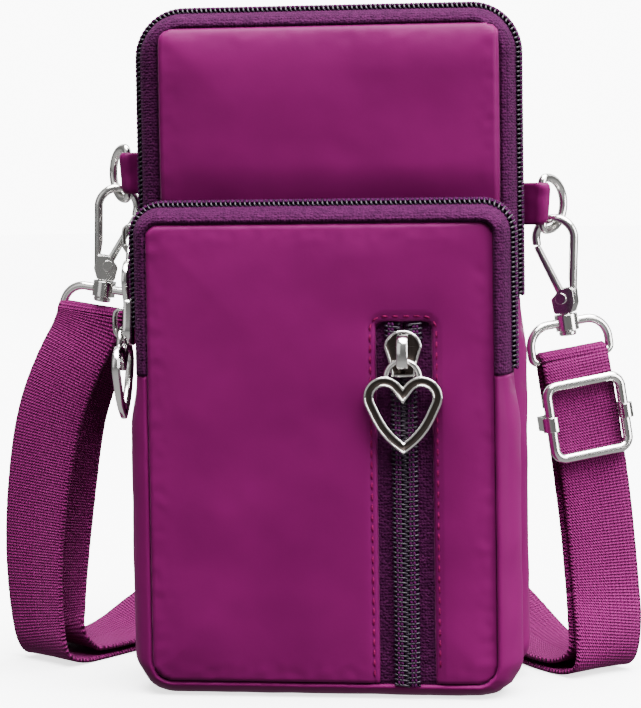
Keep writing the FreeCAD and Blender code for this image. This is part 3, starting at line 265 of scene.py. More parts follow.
nylon, tree, shader = finish("nylon", 0.46)
coords = node(tree, "ShaderNodeTexCoord").outputs["Object"]
tree.links.new(drift(tree, coords, 0.028, NYLON_DARK, NYLON_LIGHT), shader.inputs["Base Color"])
warp = waves(tree, coords, WEAVE_PERIOD, "X")
weft = waves(tree, coords, WEAVE_PERIOD, "Z")
weave = math_of(tree, "MAXIMUM", warp, weft)
grain = mottle(tree, coords, 0.0006, 3.0)
dents = mottle(tree, coords, 0.009, 2.0)
bump(tree, shader, mix_of(tree, (weave, 0.06), (grain, 0.16), (dents, 0.6)), 0.2, 0.0006)
sheen(shader, (1.0, 0.45, 0.8), 0.06)
shader.inputs["Sheen Roughness"].default_value = 0.35
print("nylon nodes", len(nylon.node_tree.nodes))

# %% [markdown]
# The zip tape is a matte knit of tiny loops, darker and bluer than the nylon, and rounded cells make the
# loops. Lining and sewing threads are finer knits in their own plums, and a near-black knit is painted
# shadow for the seam grooves. The coil is a satin plastic, almost black.

# %% Finishes: tape, coil, lining, thread and painted groove shadow
def make_knit(name, dark, light, grain):
    mat, tree, shader = finish(name, 0.85)
    coords = node(tree, "ShaderNodeTexCoord").outputs["Object"]
    tree.links.new(drift(tree, coords, 2.0 * grain, dark, light, 4.0), shader.inputs["Base Color"])
    loops = node(tree, "ShaderNodeTexVoronoi", Scale=1 / grain, Randomness=0.55)
    tree.links.new(coords, loops.inputs["Vector"])
    bump(tree, shader, math_of(tree, "SUBTRACT", 1.0, loops.outputs["Distance"]), 0.95, 0.0005)
    sheen(shader, (0.8, 0.3, 0.75), 0.04)
    return mat


tape_cloth = make_knit("tape_cloth", (0.02, 0.0014, 0.016), (0.041, 0.0038, 0.031), 0.0008)
lining_cloth = make_knit("lining_cloth", (0.035, 0.001, 0.018), (0.05, 0.002, 0.026), 0.0005)
bead_thread = make_knit("bead_thread", (0.034, 0.002, 0.03), (0.062, 0.006, 0.052), 0.0004)
stitch_thread = make_knit("stitch_thread", (0.12, 0.001, 0.036), (0.18, 0.004, 0.06), 0.0003)
# Painted shadow: near-black cloth for the tubes that darken the seam grooves round the panels
groove_shadow_cloth = make_knit("groove_shadow_cloth", (0.014, 0.0005, 0.009), (0.024, 0.001, 0.016), 0.0003)

coil_plastic, coil_tree, coil_shader = finish("coil_plastic", 0.36)
coil_coords = node(coil_tree, "ShaderNodeTexCoord").outputs["Object"]
coil_colour = drift(coil_tree, coil_coords, 0.002, (0.006, 0.002, 0.007), (0.014, 0.005, 0.016))
coil_tree.links.new(coil_colour, coil_shader.inputs["Base Color"])
coil_shader.inputs["Specular IOR Level"].default_value = 0.3
print("tape, lining, thread and coil finishes made")

# %% [markdown]
# All the metal is polished nickel plate. A faint noise in the roughness breaks the reflections up as
# plating does, and a bevel node rounds the edges of the CAD solids where light would catch them.

# %% Finishes: metal
def make_metal(name, colour, roughness, edge):
    mat, tree, shader = finish(name, roughness, 1.0)
    shader.inputs["Base Color"].default_value = (*colour, 1)
    coords = node(tree, "ShaderNodeTexCoord").outputs["Object"]
    spread = node(tree, "ShaderNodeMapRange")
    spread.inputs["To Min"].default_value = roughness * 0.7
    spread.inputs["To Max"].default_value = roughness * 1.5
    tree.links.new(mottle(tree, coords, 0.004, 5.0), spread.inputs["Value"])
    tree.links.new(spread.outputs[0], shader.inputs["Roughness"])
    rounded = node(tree, "ShaderNodeBevel", Radius=edge)
    tree.links.new(rounded.outputs["Normal"], shader.inputs["Normal"])
    return mat


nickel = make_metal("nickel", (0.78, 0.765, 0.745), 0.12, 0.0004)
# Painted dark reflection: a near-black nickel for the sunk faces of the sliders and the heart channels
dark_reflection_nickel = make_metal("dark_reflection_nickel", (0.05, 0.04, 0.036), 0.38, 0.0003)
spring_steel = make_metal("spring_steel", (0.5, 0.5, 0.52), 0.3, 0.0001)


def dress(name, material):
    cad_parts[name].data.materials.clear()
    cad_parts[name].data.materials.append(material)
    print(name, "in", material.name)


for part in ("adjuster_frame", "adjuster_bar"):
    dress(part, nickel)
for side in ("left_", "right_"):
    for part in ("d_ring", "hook_body", "gate_rivet", "strap_eye"):
        dress(side + part, nickel)
    dress(side + "gate_spring", spring_steel)

# %% [markdown]
# The webbing is a herringbone: ribs that lean one way on the left half of the band and the other way on the
# right half, over level rows of weft, with a looped edge. It reads the band's own unwrapping, with U across
# the width and V along the length, so the pattern follows every turn of the strap.

# %% Finishes: webbing
WEB_DARK = (0.05, 0.0007, 0.027)
WEB_LIGHT = (0.2, 0.008, 0.113)
SELVEDGE = 0.045

webbing, tree, shader = finish("webbing", 0.62)
uv = node(tree, "ShaderNodeUVMap", uv_map="band").outputs["UV"]
parts = node(tree, "ShaderNodeSeparateXYZ")
tree.links.new(uv, parts.inputs[0])
u, v = parts.outputs["X"], parts.outputs["Y"]


def ridges(place, count):
    # Even ridges, count of them for each band width
    turn = math_of(tree, "MULTIPLY", place, 2 * math.pi * count)
    return math_of(tree, "SINE", turn, 0)


from_edge = math_of(tree, "PINGPONG", u, 0.5)
slant = math_of(tree, "ADD", math_of(tree, "MULTIPLY", from_edge, 1.5), v)
at_edge = math_of(tree, "GREATER_THAN", SELVEDGE, from_edge)
rungs = math_of(tree, "MULTIPLY", at_edge, ridges(v, 18))
weave = mix_of(tree, (ridges(slant, 19), 0.3), (ridges(u, 18), 0.2), (ridges(v, 25), 0.35), (rungs, 0.6))
shade = node(tree, "ShaderNodeMapRange")
shade.inputs["From Min"].default_value = -0.85
shade.inputs["From Max"].default_value = 0.85
tree.links.new(weave, shade.inputs["Value"])
mixed = node(tree, "ShaderNodeValToRGB")
mixed.color_ramp.elements[0].color = (*WEB_DARK, 1)
mixed.color_ramp.elements[1].color = (*WEB_LIGHT, 1)
tree.links.new(shade.outputs[0], mixed.inputs["Fac"])
tree.links.new(mixed.outputs["Color"], shader.inputs["Base Color"])
bump(tree, shader, weave, 0.9, 0.0005)
sheen(shader, (1.0, 0.5, 0.8), 0.06)
print("webbing nodes", len(webbing.node_tree.nodes))

# %% [markdown]
# Every made piece goes through one helper. It turns millimetres into metres, gives the mesh its finish,
# lets it ride on its body and hides the CAD solids it stands for. Fabric that crosses a fold line gets no
# body; its placing is baked into the mesh. Most shapes are rings of points joined by quads, so the helpers
# for that are here too.

# %% Piece helper
def piece(name, points, faces, material, slot, body=None, fold=None, replaces=(), smooth=True):
    mesh = bpy.data.meshes.new(name)
    mesh.from_pydata([tuple(c * MM for c in p) for p in points], [], faces)
    work = bmesh.new()
    work.from_mesh(mesh)
    bmesh.ops.recalc_face_normals(work, faces=work.faces)
    work.to_mesh(mesh)
    work.free()
    mesh.materials.append(material)
    for polygon in mesh.polygons:
        polygon.use_smooth = smooth
    obj = bpy.data.objects.new(name, mesh)
    bpy.context.scene.collection.objects.link(obj)
    if replaces:
        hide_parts(*replaces)
    if body:
        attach(obj, body)
    if fold:
        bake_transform(obj)
    return obj


def ring_faces(rings, count, closed=False):
    # Quads between rings of count points; closed also joins the last ring to the first
    faces = []
    for i in range(rings if closed else rings - 1):
        for k in range(count):
            a, b = i * count + k, i * count + (k + 1) % count
            c, d = ((i + 1) % rings) * count + (k + 1) % count, ((i + 1) % rings) * count + k
            faces.append((a, b, c, d))
    return faces


def capped(rings, count):
    last = (rings - 1) * count
    return ring_faces(rings, count) + [list(range(count)), [last + k for k in range(count)][::-1]]


def add_to(points, faces, more_points, more_faces):
    start = len(points)
    points += more_points
    faces += [[start + v for v in f] for f in more_faces]


def vec(*c):
    return Vector(c)


REAR_FOLD_Z = 134.3
FRONT_FOLD_Z = 108.0
FOLD_REACH = 3.5


def fold_at(flap, y, z):
    start = Vector((0, y, z - FOLD_REACH)) * MM
    end = Vector((0, y, z + FOLD_REACH)) * MM
    return ("pouch", flap, tuple(start), tuple(end))


REAR_MOUTH = fold_at("rear_flap", -0.6, REAR_FOLD_Z)
FRONT_MOUTH = fold_at("front_flap", -20.0, FRONT_FOLD_Z)
print("fold lines", REAR_FOLD_Z, FRONT_FOLD_Z)

# %% [markdown]
# The panels are nylon over a thin pad. Their edges dive into the seam, they crown towards the middle, and
# they ripple a little. One grid is cut along the outline by its distance to the edge, the rim is pulled
# exactly onto the outline, and the height is a function of that distance. Fine rows keep the rounding clean.

# %% Panel helper
def outline_distance(x, z, half, low, high, r_low, r_high):
    # Distance to an upright rectangle with rounded corners, negative inside
    middle = (low + high) / 2
    r = r_high if z > middle else r_low
    across = abs(x) - (half - r)
    up = abs(z - middle) - ((high - low) / 2 - r)
    return math.hypot(max(across, 0), max(up, 0)) + min(max(across, up), 0) - r


def quarter_round(d, reach):
    t = min(max(d / reach, 0.0), 1.0)
    return math.sqrt(1 - (1 - t) ** 2)


def padded_panel(name, distance, height, y_back, facing, limits, spacing, material, slot, **where):
    x0, x1, z0, z1 = limits
    columns = int((x1 - x0) / spacing) + 1
    rows = int((z1 - z0) / spacing) + 1
    cells = []
    used = {}
    for i in range(columns):
        for j in range(rows):
            cx, cz = x0 + (i + 0.5) * spacing, z0 + (j + 0.5) * spacing
            if distance(cx, cz) < -0.2 * spacing:
                cells.append((i, j))
                for corner in ((i, j), (i + 1, j), (i + 1, j + 1), (i, j + 1)):
                    used[corner] = used.get(corner, 0) + 1
    points, front, back = [], {}, {}
    for (i, j), count in used.items():
        x, z = x0 + i * spacing, z0 + j * spacing
        if count < 4:
            for _ in range(3):
                d = distance(x, z)
                gx = (distance(x + 0.05, z) - distance(x - 0.05, z)) / 0.1
                gz = (distance(x, z + 0.05) - distance(x, z - 0.05)) / 0.1
                x, z = x - gx * d, z - gz * d
            front[i, j] = back[i, j] = len(points)
            points.append((x, y_back, z))
            continue
        front[i, j] = len(points)
        points.append((x, y_back + facing * height(x, z, -distance(x, z)), z))
        back[i, j] = len(points)
        points.append((x, y_back, z))
    faces = []
    for i, j in cells:
        corners = ((i, j), (i + 1, j), (i + 1, j + 1), (i, j + 1))
        faces.append([front[c] for c in corners])
        faces.append([back[c] for c in corners[::-1]])
    obj = piece(name, points, faces, material, slot, **where)
    print(name, "faces", len(faces))
    return obj


def swell(d, amount, reach):
    # Padding that fills out over about reach from the seam
    return amount * (1 - math.exp(-max(d, 0) / reach))


def ripple(x, z, size, amount, seed):
    return amount * noise.noise(Vector((x / size, seed, z / size)))


def slack(x, z, d, broad, fine):
    # Broad and fine unevenness, both fading out at the seam
    return ripple(x, z, *broad) * min(d / 9, 1) + ripple(x, z, *fine) * min(d / 5, 1)


def pucker(x, z, d):
    # Small gathers just inside the seam
    return ripple(x, z, 2.8, 0.2, 6.0) * math.exp(-((d - 2.5) / 3) ** 2)


# %% [markdown]
# The front panel has a tall window for the pocket zip, open at the bottom seam. Beside the window the cloth
# is folded under and topstitched, so there is a narrow soft welt, then a dip where the thread pulls it in.
# Towards the right edge the padding thins out.

# %% Front panel
SEAM_INSET = 4.8
FRONT_HALF, FRONT_TOP, FRONT_TOP_R = 50.8, 131.0, 8.0
REAR_HALF, REAR_TOP, REAR_TOP_R = 52.0, 183.6, 12.5
BOTTOM_R = 10.0
PANEL_BACK = -18.8
POCKET_X = 22.4
WINDOW_HALF = 7.0
WINDOW_TOP = 100.0
WINDOW_R = 1.8
STITCH_OUT = 1.7
FALL_START = 30.0


def window_distance(x, z):
    # Distance to the pocket window, negative inside it
    across = abs(x - POCKET_X) - (WINDOW_HALF - WINDOW_R)
    up = z - (WINDOW_TOP - WINDOW_R)
    return math.hypot(max(across, 0), max(up, 0)) + min(max(across, up), 0) - WINDOW_R


def front_edge(x, z):
    high = FRONT_TOP - SEAM_INSET + 0.4
    return outline_distance(x, z, FRONT_HALF - SEAM_INSET + 0.5, SEAM_INSET - 0.9, high,
                            BOTTOM_R - SEAM_INSET + 0.6, FRONT_TOP_R - SEAM_INSET + 0.8)


def front_distance(x, z):
    return max(front_edge(x, z), -window_distance(x, z))


def front_height(x, z, d):
    seam = -front_edge(x, z)
    window = window_distance(x, z)
    below_top = FRONT_TOP - SEAM_INSET - z
    crown = swell(seam, 1.7, 14) + 0.4 * quarter_round(below_top, 8)
    crown += slack(x, z, seam, (24, 0.5, 3.0), (8, 0.1, 9.0)) + pucker(x, z, seam)
    crown -= 0.006 * max(x - FALL_START, 0) ** 2
    crown *= 0.35 + 0.65 * quarter_round(window, 16)
    thread_dip = 0.4 * math.exp(-((window - STITCH_OUT) / 0.55) ** 2)
    return max((1.15 * quarter_round(seam, 1.0) + crown) * quarter_round(window, 0.8) - thread_dip, 0.05)


PANEL_RIM = -18.2
front_panel = padded_panel("front_panel_cloth", front_distance, front_height, PANEL_RIM, -1,
                           (-47.0, 47.0, 3.0, 127.0), 0.8, nylon, "nylon", fold=FRONT_MOUTH,
                           replaces=("front_panel", "front_flap_panel"))

# %% [markdown]
# The middle panel is the front of the tall compartment. Below it is caught between the two compartments and
# lies flat; above the short compartment it is free and crowns. The back panel is one plain padded face.

# %% Middle and back panels
def rear_edge(x, z):
    return outline_distance(x, z, REAR_HALF - SEAM_INSET + 0.5, SEAM_INSET - 0.6, REAR_TOP - SEAM_INSET + 0.4,
                            BOTTOM_R - SEAM_INSET + 0.6, REAR_TOP_R - SEAM_INSET - 2.6)


def middle_edge(x, z):
    high = REAR_TOP - SEAM_INSET + 0.4
    return outline_distance(x - 1.0, z, REAR_HALF - SEAM_INSET - 0.5, SEAM_INSET - 0.6, high,
                            BOTTOM_R - SEAM_INSET + 0.6, REAR_TOP_R - SEAM_INSET - 3.6)


FREE_FROM, FREE_OVER = 120.0, 22.0


def middle_height(x, z, d):
    free = min(max((z - FREE_FROM) / FREE_OVER, 0), 1)
    free = free * free * (3 - 2 * free)
    below_top = REAR_TOP - SEAM_INSET - z
    crown = swell(d, 1.5, 12) + 2.6 * quarter_round(below_top, 13)
    crown += slack(x, z, d, (21, 0.5, 5.0), (7, 0.08, 2.0)) + pucker(x, z, d)
    return max(1.1 * quarter_round(d, 1.0) + crown * free, 0.05)


middle_panel = padded_panel("middle_panel_cloth", middle_edge, middle_height, 0.9, -1,
                            (-48.0, 48.0, 3.8, 180.0), 0.9, nylon, "nylon", fold=REAR_MOUTH,
                            replaces=("middle_panel", "rear_flap_panel"))


def back_height(x, z, d):
    crown = swell(d, 2.2, 18) + slack(x, z, d, (24, 0.6, 7.0), (8, 0.1, 4.0))
    return max(1.2 * quarter_round(d, 1.5) + crown, 0.05)


back_panel = padded_panel("back_panel_cloth", rear_edge, back_height, 18.2, 1, (-48.0, 48.0, 3.8, 180.0), 0.9,
                          nylon, "nylon", body="pouch", replaces=("back_panel",))

# %% [markdown]
# Gussets and zip tapes are bands that run round the edge of a compartment. Each is a curved cross section
# carried along a line that goes up one side, round the corners and down the other. A little noise in the
# section gives the soft unevenness of sewn cloth, and more of it at the corners, where cloth gathers.

# %% Edge lines and bands
BAND_HALF = 9.1
BAND_RADIUS = (SEAM_INSET ** 2 + BAND_HALF ** 2) / (2 * SEAM_INSET)
REAR_CHAIN_Y, FRONT_CHAIN_Y = 9.7, -9.7
TABLE_CLEAR = 0.05
REAR_ZIP_END, FRONT_ZIP_END = 104.0, 86.0


def edge_line(half, edge_z, radius, end_z, upper, step):
    # Stations of x, z, outward direction and how much they belong to a corner
    sign = 1 if upper else -1
    side = abs(edge_z - end_z) - radius
    bend = math.pi / 2 * radius
    across = 2 * (half - radius)
    total = 2 * side + 2 * bend + across
    count = int(total / step)
    found = []
    for i in range(count + 1):
        s = total * i / count
        flip = 1
        if s > total / 2:
            s, flip = total - s, -1
        if s <= side:
            x, z, nx, nz, c = -half, end_z + sign * s, -1.0, 0.0, 0.0
        elif s <= side + bend:
            a = (s - side) / radius
            nx, nz = -math.cos(a), sign * math.sin(a)
            x, z = -half + radius + nx * radius, edge_z - sign * radius + nz * radius
            c = math.sin(2 * a)
        else:
            x, z, nx, nz, c = -half + radius + s - side - bend, edge_z, 0.0, float(sign), 0.0
        found.append((flip * x, z, flip * nx, nz, c))
    return found


def arc_inset(y, thick):
    return BAND_RADIUS - math.sqrt((BAND_RADIUS - thick) ** 2 - y * y)


ROLLED_EDGE = [(3.5, 8.35), (3.9, 8.9), (4.3, 9.15), (4.65, 9.0), (4.85, 8.5), (4.9, 7.8)]
ROLL_START = 7.6


def band_section(y0, y1, thick, steps):
    # Inset and y of the outer face, with a roll beside each panel, and then of the inner face
    first, last = max(y0, -ROLL_START), min(y1, ROLL_START)
    ys = [first + (last - first) * i / steps for i in range(steps + 1)]
    outer = [(arc_inset(y, 0.0), y) for y in ys]
    if y0 < -ROLL_START:
        outer = [(inset, -y) for inset, y in reversed(ROLLED_EDGE)] + outer
    if y1 > ROLL_START:
        outer = outer + ROLLED_EDGE
    return outer + [(arc_inset(y, thick), y) for y in reversed(ys)], len(outer)


def band(name, line, y_mid, shape, wobble, full, material, slot, puff=0.0, widen=0.0,
         floor=False, **where):
    section, outer_count = shape
    points = []
    for i, (x, z, nx, nz, corner) in enumerate(line):
        for k, (inset, y) in enumerate(section):
            soft, roll = 0.0, 0.0
            if k < outer_count:
                here = Vector((x / 9, y / 5, z / 9))
                # Slow unevenness and short gathers, both stronger at the corners
                soft = wobble * (0.6 + 1.6 * corner) * noise.noise(here) * min(2.2 - abs(y) / 5, 1)
                soft += wobble * 0.7 * corner * noise.noise(Vector((x / 2.2, y / 9, z / 2.2)))
                # Fullness in the middle of the band, none at its ends or underneath
                ends = min(i / 16, (len(line) - 1 - i) / 16, 1)
                ends *= ends * (3 - 2 * ends) * (1 - max(-nz, 0)) ** 1.5
                soft += full * ends * (1 - (y / BAND_HALF) ** 2)
                # A roll towards the panel, and extra width on the left side
                roll = puff * math.sin(math.pi * min(max(inset / SEAM_INSET, 0), 1))
                soft -= widen * max(-nx, 0) * min(max((inset - 2.4) / 2.4, 0), 1)
            deep = inset - soft
            height = z - nz * deep
            if floor:
                height = max(height, TABLE_CLEAR)
            points.append((x - nx * deep, y_mid + y + math.copysign(roll, y), height))
    faces = capped(len(line), len(section))
    obj = piece(name, points, faces, material, slot, **where)
    print(name, "stations", len(line))
    return obj


GUSSET = band_section(-BAND_HALF, BAND_HALF, 1.6, 22)
EDGE_BOTTOM = -0.7
for name, half, end_z, y_mid, puff in (("rear", REAR_HALF, REAR_ZIP_END, REAR_CHAIN_Y, 1.2),
                                       ("front", FRONT_HALF, FRONT_ZIP_END, FRONT_CHAIN_Y, 1.5)):
    low_line = edge_line(half, EDGE_BOTTOM, BOTTOM_R, end_z, False, 1.0)
    band(name + "_gusset_cloth", low_line, y_mid, GUSSET, 0.4, 1.7, nylon, "nylon", puff=puff, floor=True,
         body="pouch", replaces=(name + "_gusset",))

# %% [markdown]
# Each zip tape is two halves with a slit between them, where the coils meet. The half that belongs to the
# opening side gets no body, and the other half stays with the pouch.

# %% Zip tapes
TAPE_GAP = 0.2
TAPE_WOBBLE, TAPE_PUFF = 0.12, 1.9
FRONT_SIDE = band_section(-BAND_HALF, -TAPE_GAP, 1.0, 10)
BACK_SIDE = band_section(TAPE_GAP, BAND_HALF, 1.0, 10)
rear_high = edge_line(REAR_HALF, REAR_TOP, REAR_TOP_R, REAR_ZIP_END, True, 1.0)
front_high = edge_line(FRONT_HALF, FRONT_TOP, FRONT_TOP_R, FRONT_ZIP_END, True, 1.0)
for name, line, y_mid, mouth, widen in (("rear", rear_high, REAR_CHAIN_Y, REAR_MOUTH, 1.9),
                                        ("front", front_high, FRONT_CHAIN_Y, FRONT_MOUTH, 0.0)):
    band(name + "_tape_front_cloth", line, y_mid, FRONT_SIDE, TAPE_WOBBLE, 0.0, tape_cloth, "zip_tape",
         puff=TAPE_PUFF, widen=widen, fold=mouth, replaces=(name + "_flap_tape", name + "_tape_front_ends"))
    band(name + "_tape_back_cloth", line, y_mid, BACK_SIDE, TAPE_WOBBLE, 0.0, tape_cloth, "zip_tape",
         puff=TAPE_PUFF, body="pouch", replaces=(name + "_tape_back",))

# %% [markdown]
# A coil zip is a plastic thread wound into flat loops and sewn to the tape edge; the loops of one side slip
# between those of the other. Each side is one long flattened helix with thicker heads in the middle of the
# zip, and two beads of sewing thread lie over every loop. Modelled loops catch the light as a real zip does.
# The painted shadow in the groove round each panel is a thin dark tube, so it is made here too.

# %% Coil helper
PITCH = 1.3
COIL_MIDDLE, COIL_REACH = 1.45, 1.85
COIL_LIFT, COIL_RISE = 0.68, 0.5
WIRE = 0.32


def tube(path, radii, sides):
    # Ring points and faces of a round tube along path, with its ends closed
    points = []
    count = len(path)
    before = None
    for i, p in enumerate(path):
        ahead = (path[min(i + 1, count - 1)] - path[max(i - 1, 0)]).normalized()
        if before is None:
            before = ahead.orthogonal().normalized()
        u = (before - ahead * before.dot(ahead)).normalized()
        v = ahead.cross(u)
        before = u
        for k in range(sides):
            a = 2 * math.pi * k / sides
            points.append(tuple(p + (u * math.cos(a) + v * math.sin(a)) * radii[i]))
    return points, capped(count, sides)


def groove_shadow_tube(name, half, low, high, r_low, r_high, shift, y, **where):
    # Dark tube in the groove round a panel: painted shadow of the seam groove
    corners = [(half - r_low, low + r_low, r_low, -90), (half - r_high, high - r_high, r_high, 0),
               (-half + r_high, high - r_high, r_high, 90), (-half + r_low, low + r_low, r_low, 180)]
    bends = []
    for cx, cz, r, first in corners:
        for i in range(9):
            a = math.radians(first + 90 * i / 8)
            bends.append(Vector((shift + cx + r * math.cos(a), y, cz + r * math.sin(a))))
    path = []
    for a, b in zip(bends, bends[1:] + bends[:1]):
        parts = max(1, int((b - a).length / 2.0))
        path += [a.lerp(b, i / parts) for i in range(parts)]
    points, faces = tube(path + path[:1], [0.34] * (len(path) + 1), 6)
    piece(name, points, faces, groove_shadow_cloth, "nylon", **where)
    print(name, "points", len(path))


groove_shadow_tube("front_groove_shadow", FRONT_HALF - SEAM_INSET + 0.3, SEAM_INSET - 0.7, FRONT_TOP - SEAM_INSET + 0.2,
          BOTTOM_R - SEAM_INSET, FRONT_TOP_R - SEAM_INSET + 0.8, 0.0, -18.45, fold=FRONT_MOUTH)
groove_shadow_tube("middle_groove_shadow", REAR_HALF - SEAM_INSET - 0.7, SEAM_INSET - 0.4, REAR_TOP - SEAM_INSET + 0.2,
          BOTTOM_R - SEAM_INSET, REAR_TOP_R - SEAM_INSET - 3.6, 1.0, 0.6, fold=REAR_MOUTH)
groove_shadow_tube("back_groove_shadow", REAR_HALF - SEAM_INSET + 0.3, SEAM_INSET - 0.4, REAR_TOP - SEAM_INSET + 0.2,
          BOTTOM_R - SEAM_INSET, REAR_TOP_R - SEAM_INSET - 2.6, 0.0, 18.45, body="pouch")


def line_point(line, step, s):
    # Place, outward direction at distance s along a list of evenly spaced stations
    i = min(max(s / step, 0), len(line) - 1.001)
    k = int(i)
    f = i - k
    a, b = line[k], line[k + 1]
    spot = [a[c] * (1 - f) + b[c] * f for c in range(4)]
    size = math.hypot(spot[2], spot[3])
    return spot[0], spot[1], spot[2] / size, spot[3] / size


BEAD_ROWS = (1.3, 2.2)
BEAD_SIZE = (0.42, 0.36, 0.56)
CORE = 0.45


def bead(centre, across, out, along):
    # One stitch over a coil loop, a long ball of four rings
    points = []
    wide, high, long = BEAD_SIZE
    for ring in range(4):
        t = math.pi * (ring + 0.5) / 4
        for spoke in range(6):
            b = 2 * math.pi * spoke / 6
            side, up = wide * math.sin(t) * math.cos(b), high * math.sin(t) * math.sin(b)
            points.append(tuple(centre + along * (long * math.cos(t)) + across * side + out * up))
    return points, capped(4, 6)


def coil_side(name, spot_at, length, side, phase, apart, bend, where, replaces):
    # spot_at(s) gives the middle of the zip and its outward direction; side is -1 or 1 across it
    turns = int(length / PITCH)
    steps = 12
    path, radii, core = [], [], []
    beads, bead_faces = [], []
    for i in range(turns * steps + 1):
        s = i * PITCH / steps
        angle = 2 * math.pi * (i / steps + phase)
        middle, out, across, along = spot_at(s)
        reach = math.cos(angle)
        flat = math.copysign(abs(reach) ** 0.75, reach)
        a = COIL_MIDDLE + apart(s) - COIL_REACH * flat
        n = COIL_LIFT + COIL_RISE * math.sin(angle) - bend * a * a
        path.append(middle + across * side * a + out * n)
        radii.append(WIRE * (1.0 + 0.45 * max(flat, 0) ** 3))
        if i % steps == 0:
            core.append(middle + across * side * (COIL_MIDDLE + apart(s)) + out * (COIL_LIFT - bend * 2))
    points, faces = tube(path, radii, 6)
    for k in range(turns):
        middle, out, across, along = spot_at((k + 0.25 - phase + 0.5) * PITCH)
        for row in BEAD_ROWS:
            reach = row + apart(k * PITCH)
            lift = COIL_LIFT + COIL_RISE + 0.05 - bend * reach * reach
            centre = middle + across * (side * reach) + out * lift
            add_to(beads, bead_faces, *bead(centre, across, out, along))
    add_to(points, faces, *tube(core, [CORE] * len(core), 6))
    piece(name + "_coil", points, faces, coil_plastic, "zip_teeth", replaces=replaces, **where)
    piece(name + "_thread", beads, bead_faces, bead_thread, "zip_tape", **where)
    print(name, "turns", turns)


def band_spot(line, step, y_mid, offset):
    def spot(s):
        x, z, nx, nz = line_point(line, step, s + offset)
        out = Vector((nx, 0, nz))
        return Vector((x, y_mid, z)), out, Vector((0, 1, 0)), Vector((nz, 0, -nx))
    return spot


def line_step(line):
    return math.dist(line[0][:2], line[1][:2])


def together(s):
    return 0.0


# %% [markdown]
# The curved zips follow the same edge lines as their tapes. On the left their coils begin a little above the
# end of the tape. The tape is bowed, so the loops bend down to it on both sides of the middle.

# %% Curved zips
BAND_BEND = 0.075
REAR_COIL_START, FRONT_COIL_START = 16.0, 12.0


def curved_zip(name, line, y_mid, start, mouth, front_nodes, back_nodes):
    step = line_step(line)
    length = step * (len(line) - 1) - start
    spot = band_spot(line, step, y_mid, start)
    coil_side(name + "_front", spot, length, -1, 0.0, together, BAND_BEND, {"fold": mouth}, front_nodes)
    coil_side(name + "_back", spot, length, 1, 0.5, together, BAND_BEND, {"body": "pouch"}, back_nodes)


curved_zip("rear_zip", rear_high, REAR_CHAIN_Y, REAR_COIL_START, REAR_MOUTH,
           ("rear_flap_teeth", "rear_teeth_front_ends"), ("rear_teeth_back",))
curved_zip("front_zip", front_high, FRONT_CHAIN_Y, FRONT_COIL_START, FRONT_MOUTH,
           ("front_flap_teeth", "front_teeth_front_ends"), ("front_teeth_back",))

# %% [markdown]
# The pocket zip stands upright behind the window. Below the slider its coils are closed; above it they part
# round the wedge. Its two tapes are flat strips of the same knit.

# %% Pocket zip
POCKET_SLIDER_Z = 92.0
POCKET_LOW, POCKET_TAPE_TOP = 3.7, 102.0
POCKET_COIL = 97.3


def pocket_spot(s):
    middle = vec(POCKET_X, PANEL_BACK, POCKET_LOW + s)
    return middle, vec(0, -1, 0), vec(1, 0, 0), vec(0, 0, 1)


def parting(s):
    t = min(max((s + POCKET_LOW - POCKET_SLIDER_Z + 1.0) / 5.0, 0), 1)
    return 1.5 * t * t * (3 - 2 * t)


for name, side, phase in (("left", -1, 0.0), ("right", 1, 0.5)):
    coil_side("pocket_" + name, pocket_spot, POCKET_COIL, side, phase, parting, 0.0, {"body": "pouch"},
              ("pocket_teeth_" + name,))


def pocket_tape(side, x0, x1):
    columns, rows = 8, 60
    points, faces = [], []
    for j in range(rows + 1):
        z = POCKET_LOW + (POCKET_TAPE_TOP - POCKET_LOW) * j / rows
        for i in range(columns + 1):
            x = x0 + (x1 - x0) * i / columns
            dip = 0.12 * noise.noise(Vector((x / 3, 1.0, z / 9)))
            points.append((x, PANEL_BACK + 0.05 + dip, z))
    half = len(points)
    points += [(x, y + 0.8, z) for x, y, z in points]
    wide = columns + 1
    for j in range(rows):
        for i in range(columns):
            a = j * wide + i
            faces.append((a, a + 1, a + 1 + wide, a + wide))
            faces.append((half + a, half + a + wide, half + a + 1 + wide, half + a + 1))
    rim = list(range(columns)) + [columns + j * wide for j in range(rows)]
    rim += [rows * wide + columns - i for i in range(columns)] + [(rows - j) * wide for j in range(rows)]
    for a, b in zip(rim, rim[1:] + rim[:1]):
        faces.append((a, b, b + half, a + half))
    piece(f"pocket_tape_{side}_cloth", points, faces, tape_cloth, "zip_tape", body="pouch",
          replaces=("pocket_tape_" + side,))
    print("pocket tape", side, "faces", len(faces))


TAPE_OUT = WINDOW_HALF + 2.0
pocket_tape("left", POCKET_X - TAPE_OUT, POCKET_X - TAPE_GAP)
pocket_tape("right", POCKET_X + TAPE_GAP, POCKET_X + TAPE_OUT)

# %% [markdown]
# Thread is drawn stitch by stitch: short rounded lengths that dive in at both ends, a little uneven. Here a
# single row runs up one side of the pocket window, across its top and down the other side.

# %% Topstitching
STITCH_RADII = [0.13, 0.22, 0.26, 0.27, 0.26, 0.22, 0.13]


